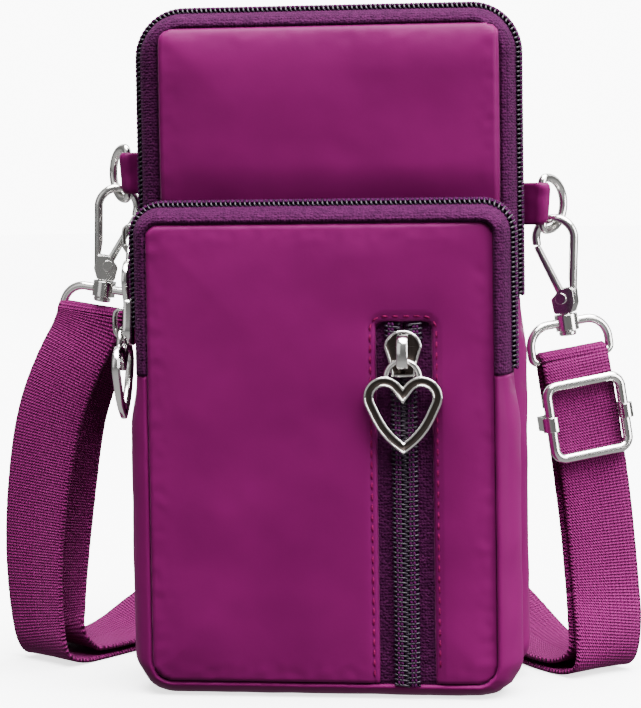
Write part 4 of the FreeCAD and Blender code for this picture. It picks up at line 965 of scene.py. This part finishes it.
def stitch_row(name, path_points, length, gap, lift, body):
    points, faces = [], []
    lengths = [0.0]
    for a, b in zip(path_points, path_points[1:]):
        lengths.append(lengths[-1] + (b - a).length)

    def at(s):
        s = min(max(s, 0.0), lengths[-1] - 1e-6)
        k = max(i for i, v in enumerate(lengths[:-1]) if v <= s)
        f = (s - lengths[k]) / (lengths[k + 1] - lengths[k])
        return path_points[k].lerp(path_points[k + 1], f)

    s = 0.0
    made = 0
    while s + length < lengths[-1]:
        path = []
        for i in range(7):
            t = i / 6
            p = at(s + length * t)
            path.append(p + Vector((0, -lift * math.sin(math.pi * t) + 0.1, 0)))
        add_to(points, faces, *tube(path, STITCH_RADII, 6))
        s += length + gap + random.uniform(-0.1, 0.1)
        made += 1
    piece(name, points, faces, stitch_thread, "nylon", body=body)
    print(name, "stitches", made)


def on_front(x, z):
    d = -front_distance(x, z)
    return Vector((x, PANEL_RIM - front_height(x, z, d), z))


STITCH_HALF = WINDOW_HALF + STITCH_OUT
STITCH_BEND = WINDOW_R + STITCH_OUT
STITCH_LOW = 6.0


def stitch_corner(side, first):
    spots = []
    for i in range(9):
        a = first - math.pi / 2 * i / 8
        x = POCKET_X + side * (STITCH_HALF - STITCH_BEND) + STITCH_BEND * math.cos(a)
        spots.append(on_front(x, WINDOW_TOP - WINDOW_R + STITCH_BEND * math.sin(a)))
    return spots


rows = int(WINDOW_TOP) - 8
stitch_path = [on_front(POCKET_X - STITCH_HALF, STITCH_LOW + i) for i in range(rows)]
stitch_path += stitch_corner(-1, math.pi) + stitch_corner(1, math.pi / 2)
stitch_path += [on_front(POCKET_X + STITCH_HALF, WINDOW_TOP - WINDOW_R - i) for i in range(1, rows)]
stitch_row("pocket_stitches", stitch_path, 2.0, 0.8, 0.38, body="pouch")

# %% [markdown]
# The linings are loose sleeves of thin cloth that show only when a compartment is open, and the pocket bag
# is a flat sleeve behind the pocket zip. Each is a rounded tube with a closed bottom and a thin wall.

# %% Linings
def sleeve(name, x_range, y_range, z_range, radius, closed_top):
    (x0, x1), (y0, y1), (z0, z1) = x_range, y_range, z_range
    loop = []
    for cx, cy, first in ((x1 - radius, y1 - radius, 0), (x0 + radius, y1 - radius, 90),
                          (x0 + radius, y0 + radius, 180), (x1 - radius, y0 + radius, 270)):
        for i in range(5):
            a = math.radians(first + 90 * i / 4)
            loop.append((cx + radius * math.cos(a), cy + radius * math.sin(a)))
    around = []
    for i, (x, y) in enumerate(loop):
        nx, ny = loop[(i + 1) % len(loop)]
        parts = max(1, int(math.dist((x, y), (nx, ny)) / 6))
        around += [(x + (nx - x) * k / parts, y + (ny - y) * k / parts) for k in range(parts)]
    middle_y = (y0 + y1) / 2
    rows = int((z1 - z0) / 5)
    points = []
    count = len(around)
    for j in range(rows + 1):
        z = z0 + (z1 - z0) * j / rows
        for x, y in around:
            sag = 0.16 * noise.noise(Vector((x / 9, y / 4, z / 14)))
            points.append((x, y + sag * (1 if y < middle_y else -1), z))
    faces = capped(rows + 1, count)
    if not closed_top:
        faces.pop()
    obj = piece(name + "_cloth", points, faces, lining_cloth, "lining", body="pouch", replaces=(name,))
    wall = obj.modifiers.new("wall", "SOLIDIFY")
    wall.thickness = 0.3 * MM
    wall.offset = -1
    print(name, "faces", len(faces))


sleeve("rear_lining", (-42.7, 42.7), (1.1, 18.3), (9.3, 128.2), 3.0, False)
sleeve("front_lining", (-41.5, 41.5), (-13.9, -1.1), (9.3, 101.9), 3.0, False)
sleeve("pocket_bag", (-8.4, 39.2), (-17.7, -14.5), (9.0, 103.8), 1.4, True)

# %% [markdown]
# Each tab is a strip of nylon folded round the bar of a D-ring and sewn into the side seam. Seen from above
# it is a keyhole: a loop round the bar and two layers pressed together behind it. That outline is drawn once
# and carried down the height of the tab, a little fuller in the middle.

# %% Tabs
TAB_BAR_X, TAB_BAR_Y = 58.15, 17.4
TAB_ROOT = REAR_HALF - 1.6
TAB_LOOP, TAB_HOLE = 2.45, 1.4
TAB_HEIGHT = 11.6


def round_bar(radius, first, last, steps):
    angles = [math.radians(first + (last - first) * i / steps) for i in range(steps + 1)]
    return [(TAB_BAR_X + radius * math.cos(a), radius * math.sin(a)) for a in angles]


def tab(name, side, low, replaces):
    outline = [(TAB_ROOT, -1.05)] + round_bar(TAB_LOOP, -150, 150, 14) + [(TAB_ROOT, 1.05)]
    inside = [(TAB_ROOT, 0.12)] + round_bar(TAB_HOLE, 150, -150, 12) + [(TAB_ROOT, -0.12)]
    ring = outline + inside
    rows = 14
    points = []
    for j in range(rows + 1):
        t = j / rows
        z = low + TAB_HEIGHT * t
        soft = quarter_round(min(t, 1 - t), 0.22)
        for k, (x, y) in enumerate(ring):
            lump = 0.36 * noise.noise(Vector((x / 2.2, y / 3 + side, z / 2.6)))
            outside = k < len(outline)
            out = max(x - REAR_HALF, 0) / (TAB_BAR_X + TAB_LOOP - REAR_HALF)
            reach, deep = x - 0.6 * (1 - t) * out, y * 0.9
            if outside:
                reach = x - 0.9 * (2 - soft - t) * out
                deep = y * (0.72 + 0.28 * soft)
            points.append((side * reach, TAB_BAR_Y + deep + lump * outside, z))
    faces = capped(rows + 1, len(ring))
    piece(name, points, faces, nylon, "nylon", body="pouch", replaces=replaces)
    print(name, "faces", len(faces))


RIGHT_TAB_LOW, LEFT_TAB_LOW = 123.8, 133.7
tab("right_tab_cloth", 1, RIGHT_TAB_LOW, ("right_tab",))
tab("left_tab_cloth", -1, LEFT_TAB_LOW, ("left_tab",))

# %% [markdown]
# The zip sliders are small castings: an egg-shaped plate with a bright rim and sunk faces painted dark as a
# dark reflection, and a bridge over it that holds the pull. The plate is one outline, stepped inwards a few
# times at different heights, and the bridge is a flat bar carried along a bent line.

# %% Zip sliders
def stepped_in(outline, d):
    # The closed outline moved inwards by d, mitred at its corners
    found = []
    count = len(outline)
    for i, p in enumerate(outline):
        a = (p - outline[i - 1]).normalized()
        b = (outline[(i + 1) % count] - p).normalized()
        mean = (Vector((a.y, -a.x)) + Vector((b.y, -b.x))).normalized()
        found.append(p + mean * (d / max(mean.dot(Vector((a.y, -a.x))), 0.45)))
    return found


EGG_TOP, EGG_LOW, EGG_WIDEST = 6.2, -6.2, 1.6
EGG_HALF, EGG_FOOT = 5.0, 3.2
PLATE_STEPS = [(0.25, -0.45), (0.0, -0.7), (0.0, -2.45), (0.12, -2.75), (0.4, -2.85), (0.68, -2.75),
               (0.8, -2.45), (1.6, -2.4), (2.6, -2.5)]
RIM_STEPS = 5
BACK_STEPS = [(1.2, 1.5), (1.0, 1.6), (1.0, 2.3), (1.3, 2.5), (2.6, 2.55)]
BRIDGE_LINE = [(-2.3, 4.9), (-3.6, 4.5), (-4.9, 3.7), (-5.6, 2.6), (-5.85, 1.0), (-5.85, -1.4), (-5.6, -2.8),
               (-4.8, -3.5), (-3.6, -3.7), (-2.3, -3.7)]


def egg_outline():
    half = []
    for i in range(13):
        a = math.pi / 2 * i / 12
        half.append(Vector((EGG_HALF * math.sin(a), EGG_WIDEST + (EGG_TOP - EGG_WIDEST) * math.cos(a))))
    for i in range(1, 11):
        t = i / 10
        wide = EGG_FOOT + (EGG_HALF - EGG_FOOT) * (1 - t) ** 1.6
        half.append(Vector((wide, EGG_WIDEST + (EGG_LOW - EGG_WIDEST) * t)))
    return half + [Vector((-p.x, p.y)) for p in reversed(half[1:])]


BRIDGE_BAR = [(-1.5, -0.15), (-1.3, -0.42), (1.3, -0.42), (1.5, -0.15), (1.5, 0.2), (1.2, 0.42), (-1.2, 0.42),
              (-1.5, 0.2)]


def paint_dark_reflection(obj, dark):
    # The faces listed in dark get a near-black nickel, a painted dark reflection
    obj.data.materials.append(dark_reflection_nickel)
    for index in dark:
        obj.data.polygons[index].material_index = 1


def zip_slider(name, place, body, replaces):
    outline = egg_outline()
    count = len(outline)
    points, faces, dark = [], [], []
    for steps in (PLATE_STEPS, BACK_STEPS):
        shell = capped(len(steps), count)
        if steps is PLATE_STEPS:
            under = len(shell) - 2
            dark = [i for i in range(RIM_STEPS * count, len(shell)) if i != under]
        rings = [(p.x, y, p.y) for d, y in steps for p in stepped_in(outline, d)]
        add_to(points, faces, rings, shell)
    bridge = []
    for i, (y, z) in enumerate(BRIDGE_LINE):
        before, after = BRIDGE_LINE[max(i - 1, 0)], BRIDGE_LINE[min(i + 1, len(BRIDGE_LINE) - 1)]
        ahead = Vector((after[0] - before[0], after[1] - before[1])).normalized()
        bridge += [(x, y - ahead.y * n, z + ahead.x * n) for x, n in BRIDGE_BAR]
    add_to(points, faces, bridge, ring_faces(len(BRIDGE_LINE), len(BRIDGE_BAR)))
    placed = [tuple(place @ Vector(p)) for p in points]
    paint_dark_reflection(piece(name, placed, faces, nickel, "nickel", body=body, replaces=replaces), dark)
    print(name, "faces", len(faces))


FRONT_SLIDER_Z, REAR_SLIDER_Z = 99.6, 121.5
POCKET_PLACE = Matrix.Translation((POCKET_X, PANEL_BACK, POCKET_SLIDER_Z))
sideways = Matrix.Rotation(math.radians(-90), 4, "Z")
upside = Matrix.Rotation(math.radians(180), 4, "Y")
FRONT_PLACE = Matrix.Translation((-FRONT_HALF, FRONT_CHAIN_Y, FRONT_SLIDER_Z)) @ sideways
REAR_PLACE = Matrix.Translation((-REAR_HALF, REAR_CHAIN_Y, REAR_SLIDER_Z)) @ sideways
ZIP_PLACES = {"pocket": POCKET_PLACE, "front": FRONT_PLACE, "rear": REAR_PLACE}
for zip_name, place in ZIP_PLACES.items():
    if zip_name != "pocket":
        place = place @ upside
    zip_slider(zip_name + "_slider_casting", place, zip_name + "_slider", (zip_name + "_slider",))

# %% [markdown]
# The pulls are cast hearts: bright rims outside and inside, and a painted dark reflection in the sunk
# channel.
# The heart's outline is two arcs and two slightly bulging sides, smoothed where they meet, and a small
# profile is carried round it, mitred at the notch and at the tip. A half ring joins the lobes and passes
# under the slider's bridge.

# %% Heart pulls
LOBE, SPREAD, HEART_LENGTH = 5.6, 4.9, 20.6
NECK = 4.45
HEART_DROP = -(NECK - 0.5) - LOBE
HEART_PROFILE = [(0.0, 0.35), (0.08, 0.72), (0.3, 0.95), (0.55, 0.9), (0.68, 0.6), (0.74, 0.45), (2.0, 0.45),
                 (2.06, 0.6), (2.19, 0.9), (2.44, 0.95), (2.66, 0.72), (2.74, 0.35)]
CHANNEL = (4, 5, 6)
SIDE_BULGE = Vector((1.15, -0.7))
PULL_WIRE = 0.75


def heart_outline():
    tip = LOBE - HEART_LENGTH
    reach = math.hypot(SPREAD, tip)
    touch = math.atan2(tip, -SPREAD) + math.acos(LOBE / reach)
    first = math.pi - math.acos(SPREAD / LOBE)
    last = touch if touch < 0 else touch - 2 * math.pi
    half = []
    for i in range(30):
        a = first + (last - first) * i / 29
        half.append(Vector((SPREAD + LOBE * math.cos(a), LOBE * math.sin(a))))
    for i in range(1, 13):
        t = i / 12
        half.append(half[29].lerp(Vector((0, tip)), t) + SIDE_BULGE * (4 * t * (1 - t)))
    half[0].x = 0.0
    for _ in range(4):
        half = half[:1] + [(a + b * 2 + c) / 4 for a, b, c in zip(half, half[1:], half[2:])] + half[-1:]
    mirrored = [Vector((-p.x, p.y)) for p in reversed(half[1:-1])]
    return half + mirrored


def heart_pull(name, place, body, replaces):
    outline = heart_outline()
    count = len(outline)
    ring = [(d, -y) for d, y in HEART_PROFILE] + [(d, y) for d, y in reversed(HEART_PROFILE)]
    deep = len(ring)
    points = []
    for d, y in ring:
        inner = stepped_in(outline, d)
        tip = inner[count // 2]
        inner = [tip if p.x * q.x < 0 else q for p, q in zip(outline, inner)]
        points += [(q.x, y, q.y + HEART_DROP) for q in inner]
    faces = ring_faces(deep, count, True)
    sunk = set(CHANNEL) | {deep - 2 - k for k in CHANNEL}
    dark = [i for i in range(len(faces)) if i // count in sunk]
    arch = []
    for i in range(25):
        a = math.radians(-3 + 186 * i / 24)
        arch.append(Vector((NECK * math.cos(a), 0, -NECK + NECK * math.sin(a))))
    add_to(points, faces, *tube(arch, [PULL_WIRE] * len(arch), 10))
    placed = [tuple(place @ Vector(p)) for p in points]
    paint_dark_reflection(piece(name, placed, faces, nickel, "nickel", body=body, replaces=replaces), dark)
    print(name, "faces", len(faces))


PULL_OUT, PULL_ALONG = 3.8, -1.75
hang = Matrix.Translation((0, -PULL_OUT, PULL_ALONG))
for zip_name, place in ZIP_PLACES.items():
    heart_pull(zip_name + "_heart", place @ hang, zip_name + "_pull", (zip_name + "_pull",))

# %% [markdown]
# The gate of a snap hook is a small springy arm that closes the loop. It is drawn as a rounded bar from an
# eye on the rivet to the nose of the hook, thinner towards its tip, and it swings with the CAD joint.

# %% Hook gates
HOOK_TURN = math.radians(15)
GATE_TIP = vec(-5.7, 0, 15.05)
GATE_EYE, GATE_BORE = 1.75, 1.0
GATE_HALF = 1.05


def hook_gate(name, mirror, lean, body, replaces):
    low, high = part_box(replaces.replace("hook_gate", "gate_rivet"))
    pivot = (Vector(low) + Vector(high)) / 2 / MM
    lean = math.radians(lean)
    up = vec(-math.sin(lean), 0, math.cos(lean))
    turn = math.cos(HOOK_TURN)
    out = vec(turn * math.cos(lean), -math.sin(HOOK_TURN), turn * math.sin(lean))
    swing = up.cross(out)
    ahead = GATE_TIP.normalized()
    flank = vec(ahead.z, 0, -ahead.x)
    points = []
    rows, around = 14, 14
    for j in range(rows + 1):
        t = j / rows
        s = 0.6 + (GATE_TIP.length - 0.6) * t
        wide = (1.15 - 0.25 * t) * quarter_round(1.0 - t + 0.03, 0.05)
        for k in range(around):
            a = 2 * math.pi * k / around
            c, d = math.cos(a), math.sin(a)
            p = ahead * s + flank * (wide * math.copysign(abs(c) ** 0.7, c))
            deep = GATE_HALF * math.copysign(abs(d) ** 0.7, d) * min(wide / 0.9, 1)
            points.append(p + vec(0, deep, 0))
    faces = capped(rows + 1, around)
    eye = []
    for radius, y in ((GATE_BORE, -GATE_HALF), (GATE_EYE, -GATE_HALF), (GATE_EYE, GATE_HALF),
                      (GATE_BORE, GATE_HALF)):
        for k in range(24):
            a = 2 * math.pi * k / 24
            eye.append(vec(radius * math.cos(a), y, radius * math.sin(a)))
    add_to(points, faces, eye, ring_faces(4, 24, True))
    placed = []
    for p in points:
        q = out * p.x + swing * p.y + up * p.z
        placed.append((pivot.x + mirror * q.x, pivot.y + q.y, pivot.z + q.z))
    piece(name, placed, faces, nickel, "nickel", body=body, replaces=(replaces,))
    print(name, "pivot", [round(c, 1) for c in pivot])


RIGHT_LEAN, LEFT_LEAN = 6.5, 10.5
hook_gate("right_gate_bar", 1, RIGHT_LEAN, "right_gate", "right_hook_gate")
hook_gate("left_gate_bar", -1, LEFT_LEAN, "left_gate", "left_hook_gate")

# %% [markdown]
# The strap is one length of flat webbing, doubled: it comes down from the left eye, runs behind the pouch,
# and goes up through the adjuster to the right eye, and a second layer lies inside it. The route's points
# are those of the CAD solid, with a few at both tops moved to follow the photograph.

# %% Strap routes
LEFT_BAR, RIGHT_TOP = vec(-67.746, 19.008, 99.434), vec(66.716, 19.182, 87.135)
STRAP_LEAN = math.radians(8)
LEFT_TURNED, RIGHT_TURNED = math.radians(12), math.radians(27)
LEFT_SLIP = 2.6


def strap_axes(side, turned):
    # Down the band, across it and square to its face, for an end that leans outwards and is turned
    down = vec(side * math.sin(STRAP_LEAN), 0, -math.cos(STRAP_LEAN))
    wide = math.cos(turned)
    across = vec(-side * wide * math.cos(STRAP_LEAN), -math.sin(turned), -wide * math.sin(STRAP_LEAN))
    return down, across, down.cross(across)


LEFT_DOWN, LEFT_ACROSS, LEFT_OUT = strap_axes(-1, LEFT_TURNED)
RIGHT_DOWN, RIGHT_ACROSS, RIGHT_IN = strap_axes(1, RIGHT_TURNED)
LEFT_TOP = LEFT_BAR - LEFT_ACROSS * LEFT_SLIP
TURN_RADIUS = 2.0
LEFT_TURN = LEFT_TOP - LEFT_OUT * TURN_RADIUS
STRAP_HALF, STRAP_THICK = 10.2, 1.3

left_route = [
    LEFT_TOP, LEFT_TOP + LEFT_DOWN * 3.5, vec(-76.4, 17.6, 86), vec(-82.4, 17.4, 71), vec(-85.8, 17.4, 52),
    vec(-87.6, 17.2, 33), vec(-87, 16.4, 15), vec(-84.8, 15.4, 3.2), vec(-80.8, 20, 0.72),
    vec(-75, 28.6, 0.8), vec(-68, 39, 1.6), vec(-60, 50.5, 5.4), vec(-50, 64, 9.7), vec(-34, 80, 10.9),
    vec(-12, 88, 10.9)]
left_across = [
    LEFT_ACROSS, LEFT_ACROSS, vec(0.965, -0.23, -0.1), vec(0.97, -0.22, -0.05), vec(0.95, -0.31, 0),
    vec(0.91, -0.41, 0), vec(0.86, -0.5, 0), vec(0.83, -0.56, 0), vec(0.81, -0.59, 0), vec(0.8, -0.6, -0.03),
    vec(0.78, -0.58, -0.1), vec(0.66, -0.48, -0.45), vec(0.3, -0.2, -0.9), vec(0, 0, -1), vec(0, 0, -1)]
right_route = [
    vec(12, 88, 10.9), vec(31, 79, 10.9), vec(42, 64, 9), vec(48.5, 48.5, 4.9), vec(55.5, 33.5, 1.8),
    vec(62.8, 22.6, 0.8), vec(69.6, 15.4, 0.72), vec(74.4, 11, 3), vec(75.4, 11.6, 12),
    RIGHT_TOP + RIGHT_DOWN * 64 + vec(-1, -2, 0), RIGHT_TOP + RIGHT_DOWN * 42 - RIGHT_ACROSS * 0.4,
    RIGHT_TOP + RIGHT_DOWN * 21 - RIGHT_ACROSS * 0.6, RIGHT_TOP]
right_across = [
    vec(0, 0, -1), vec(-0.05, -0.03, -1), vec(-0.38, -0.26, -0.83), vec(-0.64, -0.5, -0.42),
    vec(-0.68, -0.66, -0.12), vec(-0.69, -0.72, -0.03), vec(-0.72, -0.69, 0), vec(-0.8, -0.6, 0),
    vec(-0.86, -0.51, 0), RIGHT_ACROSS, RIGHT_ACROSS, RIGHT_ACROSS, RIGHT_ACROSS]
route, across = left_route + right_route, left_across + right_across
LAYER_GAPS = [4.0, 7.0, 12.5, 16.0, 15.5, 13.0, 9.0, 6.0, 4.0, 2.6] + [2.4] * 11 + [3.0, 4.0, 3.6, 3.4, 3.4]
inner_route, inner_across = [], across[:len(LAYER_GAPS)]
for i, gap in enumerate(LAYER_GAPS):
    ahead = (route[min(i + 1, len(route) - 1)] - route[max(i - 1, 0)]).normalized()
    side = (across[i] - ahead * across[i].dot(ahead)).normalized()
    inner_route.append(route[i] + side.cross(ahead).normalized() * gap)
inner_route[0] = LEFT_TURN - LEFT_OUT * TURN_RADIUS
inner_route[1] = inner_route[0] + LEFT_DOWN * 3.5
inner_route[7:9] = [vec(-81.2, 21.8, 7.6), vec(-78, 25.8, 3.5)]
inner_route[21:24] = [vec(68.2, 18, 3.5), vec(72.6, 14.6, 6.9), vec(73, 17.2, 17)]
BAR_SPOT = RIGHT_TOP + RIGHT_DOWN * 17 + RIGHT_IN * 3.4
inner_route[-1] = BAR_SPOT + RIGHT_DOWN * 2.6
inner_route[-2] = RIGHT_TOP + RIGHT_DOWN * 42 + RIGHT_IN * 3.4
print("route points", len(route), len(inner_route))

# %% [markdown]
# The route's points are the control points of a smooth spline, which gives the middle line of the band. A
# second spline beside it gives the edge, and the band is made between the two, so it can twist as webbing
# does. The inner layer's last stretch is a piece of its own, with no body.

# %% Strap bands
def smooth_line(points, name):
    # Points along a smooth spline whose control points are the route
    curve = bpy.data.curves.new(name, "CURVE")
    curve.dimensions = "3D"
    curve.resolution_u = 12
    spline = curve.splines.new("NURBS")
    spline.points.add(len(points) - 1)
    for target, p in zip(spline.points, points):
        target.co = (p.x, p.y, p.z, 1.0)
    spline.order_u = 3
    spline.use_endpoint_u = True
    holder = bpy.data.objects.new(name, curve)
    bpy.context.scene.collection.objects.link(holder)
    bpy.context.view_layer.update()
    mesh = bpy.data.meshes.new_from_object(holder.evaluated_get(bpy.context.evaluated_depsgraph_get()))
    found = [v.co.copy() for v in mesh.vertices]
    bpy.data.objects.remove(holder)
    bpy.data.curves.remove(curve)
    bpy.data.meshes.remove(mesh)
    return found


BAND_PROFILE = [
    (-1.0, 0.0), (-0.985, 0.34), (-0.955, 0.5), (-0.6, 0.5), (-0.3, 0.5), (-0.03, 0.5), (0.0, 0.44),
    (0.03, 0.5), (0.3, 0.5), (0.6, 0.5), (0.955, 0.5), (0.985, 0.34), (1.0, 0.0), (0.985, -0.34),
    (0.955, -0.5), (0.6, -0.5), (0.3, -0.5), (0.0, -0.46), (-0.3, -0.5), (-0.6, -0.5), (-0.955, -0.5),
    (-0.985, -0.34)]


def strap_band(name, middle, edge, replaces, body="pouch", fold=None):
    points, uvs = [], []
    run = 0.0
    for i, p in enumerate(middle):
        ahead = (middle[min(i + 1, len(middle) - 1)] - middle[max(i - 1, 0)]).normalized()
        side = edge[i] - p
        side = (side - ahead * side.dot(ahead)).normalized()
        inward = side.cross(ahead).normalized()
        if i:
            run += (p - middle[i - 1]).length
        fray = 0.12 * noise.noise(Vector((run / 1.3, 3.0, 0)))
        for w, t in BAND_PROFILE:
            wide = STRAP_HALF * w + (fray * w if abs(w) > 0.95 else 0)
            points.append(tuple(p + side * wide + inward * (STRAP_THICK * t)))
            uvs.append((0.5 + 0.5 * w, run / (2 * STRAP_HALF)))
    faces = capped(len(middle), len(BAND_PROFILE))
    obj = piece(name, points, faces, webbing, "webbing", body=body, fold=fold, replaces=replaces)
    layer = obj.data.uv_layers.new(name="band")
    for loop in obj.data.loops:
        layer.data[loop.index].uv = uvs[loop.vertex_index]
    print(name, "length", round(run, 1))
    return obj, run


def beside(points, sides):
    return [p + s.normalized() * STRAP_HALF for p, s in zip(points, sides)]


outer_middle = smooth_line(route, "outer_route")
outer_edge = smooth_line(beside(route, across), "outer_edge")
outer_strap, outer_length = strap_band("strap_outer_band", outer_middle, outer_edge, ("strap_outer_run",))
inner_middle = smooth_line(inner_route, "inner_route")
inner_edge = smooth_line(beside(inner_route, inner_across), "inner_edge")
rise = next(i for i, p in enumerate(inner_middle) if p.x > 0 and p.z > 22)
inner_strap, low_length = strap_band("strap_inner_band", inner_middle[:rise + 1], inner_edge[:rise + 1],
                                     ("strap_inner_run",))
with_adjuster = ("pouch", "adjuster", tuple(inner_middle[rise] * MM), tuple(BAR_SPOT * MM))
inner_rise, rise_length = strap_band("strap_inner_rise_band", inner_middle[rise:], inner_edge[rise:], (),
                                     None, with_adjuster)

# %% [markdown]
# At the left eye the webbing turns over the bar and comes down again as the inner layer. At the right eye
# its end is folded over the bar and sewn down behind. At the adjuster the other end is sewn round the bar.
# These short turns are bands too, along half a circle.

# %% Strap turns
def turn_line(centre, start_dir, up_dir, radius, first, last, steps):
    found = []
    for i in range(steps + 1):
        a = math.radians(first + (last - first) * i / steps)
        found.append(centre + start_dir * (radius * math.cos(a)) + up_dir * (radius * math.sin(a)))
    return found


def shifted_line(points, side):
    return [p + side * STRAP_HALF for p in points]


left_arc = turn_line(LEFT_TURN, LEFT_OUT, LEFT_DOWN * -1, TURN_RADIUS, 180, 0, 16)
left_edge = shifted_line(left_arc, LEFT_ACROSS)
left_turn, _ = strap_band("strap_left_turn_band", left_arc, left_edge, ("strap_left_turn",))
RIGHT_EYE = RIGHT_TOP + RIGHT_IN * TURN_RADIUS
right_arc = turn_line(RIGHT_EYE, RIGHT_IN * -1, RIGHT_DOWN * -1, TURN_RADIUS, 0, 180, 16)
right_arc += [right_arc[-1] + RIGHT_DOWN * (1.3 * i) for i in range(1, 11)]
right_edge = shifted_line(right_arc, RIGHT_ACROSS)
right_fold, _ = strap_band("strap_right_fold_band", right_arc, right_edge, ("strap_right_fold",))
bar_arc = turn_line(BAR_SPOT, RIGHT_IN * -1, RIGHT_DOWN * -1, 1.8, -70, 250, 24)
bar_edge = shifted_line(bar_arc, RIGHT_ACROSS)
bar_loop, _ = strap_band("strap_bar_loop_band", bar_arc, bar_edge, ("strap_bar_loop",), "adjuster")


print("strap declared", round(outer_length + low_length + rise_length), "mm in two layers")
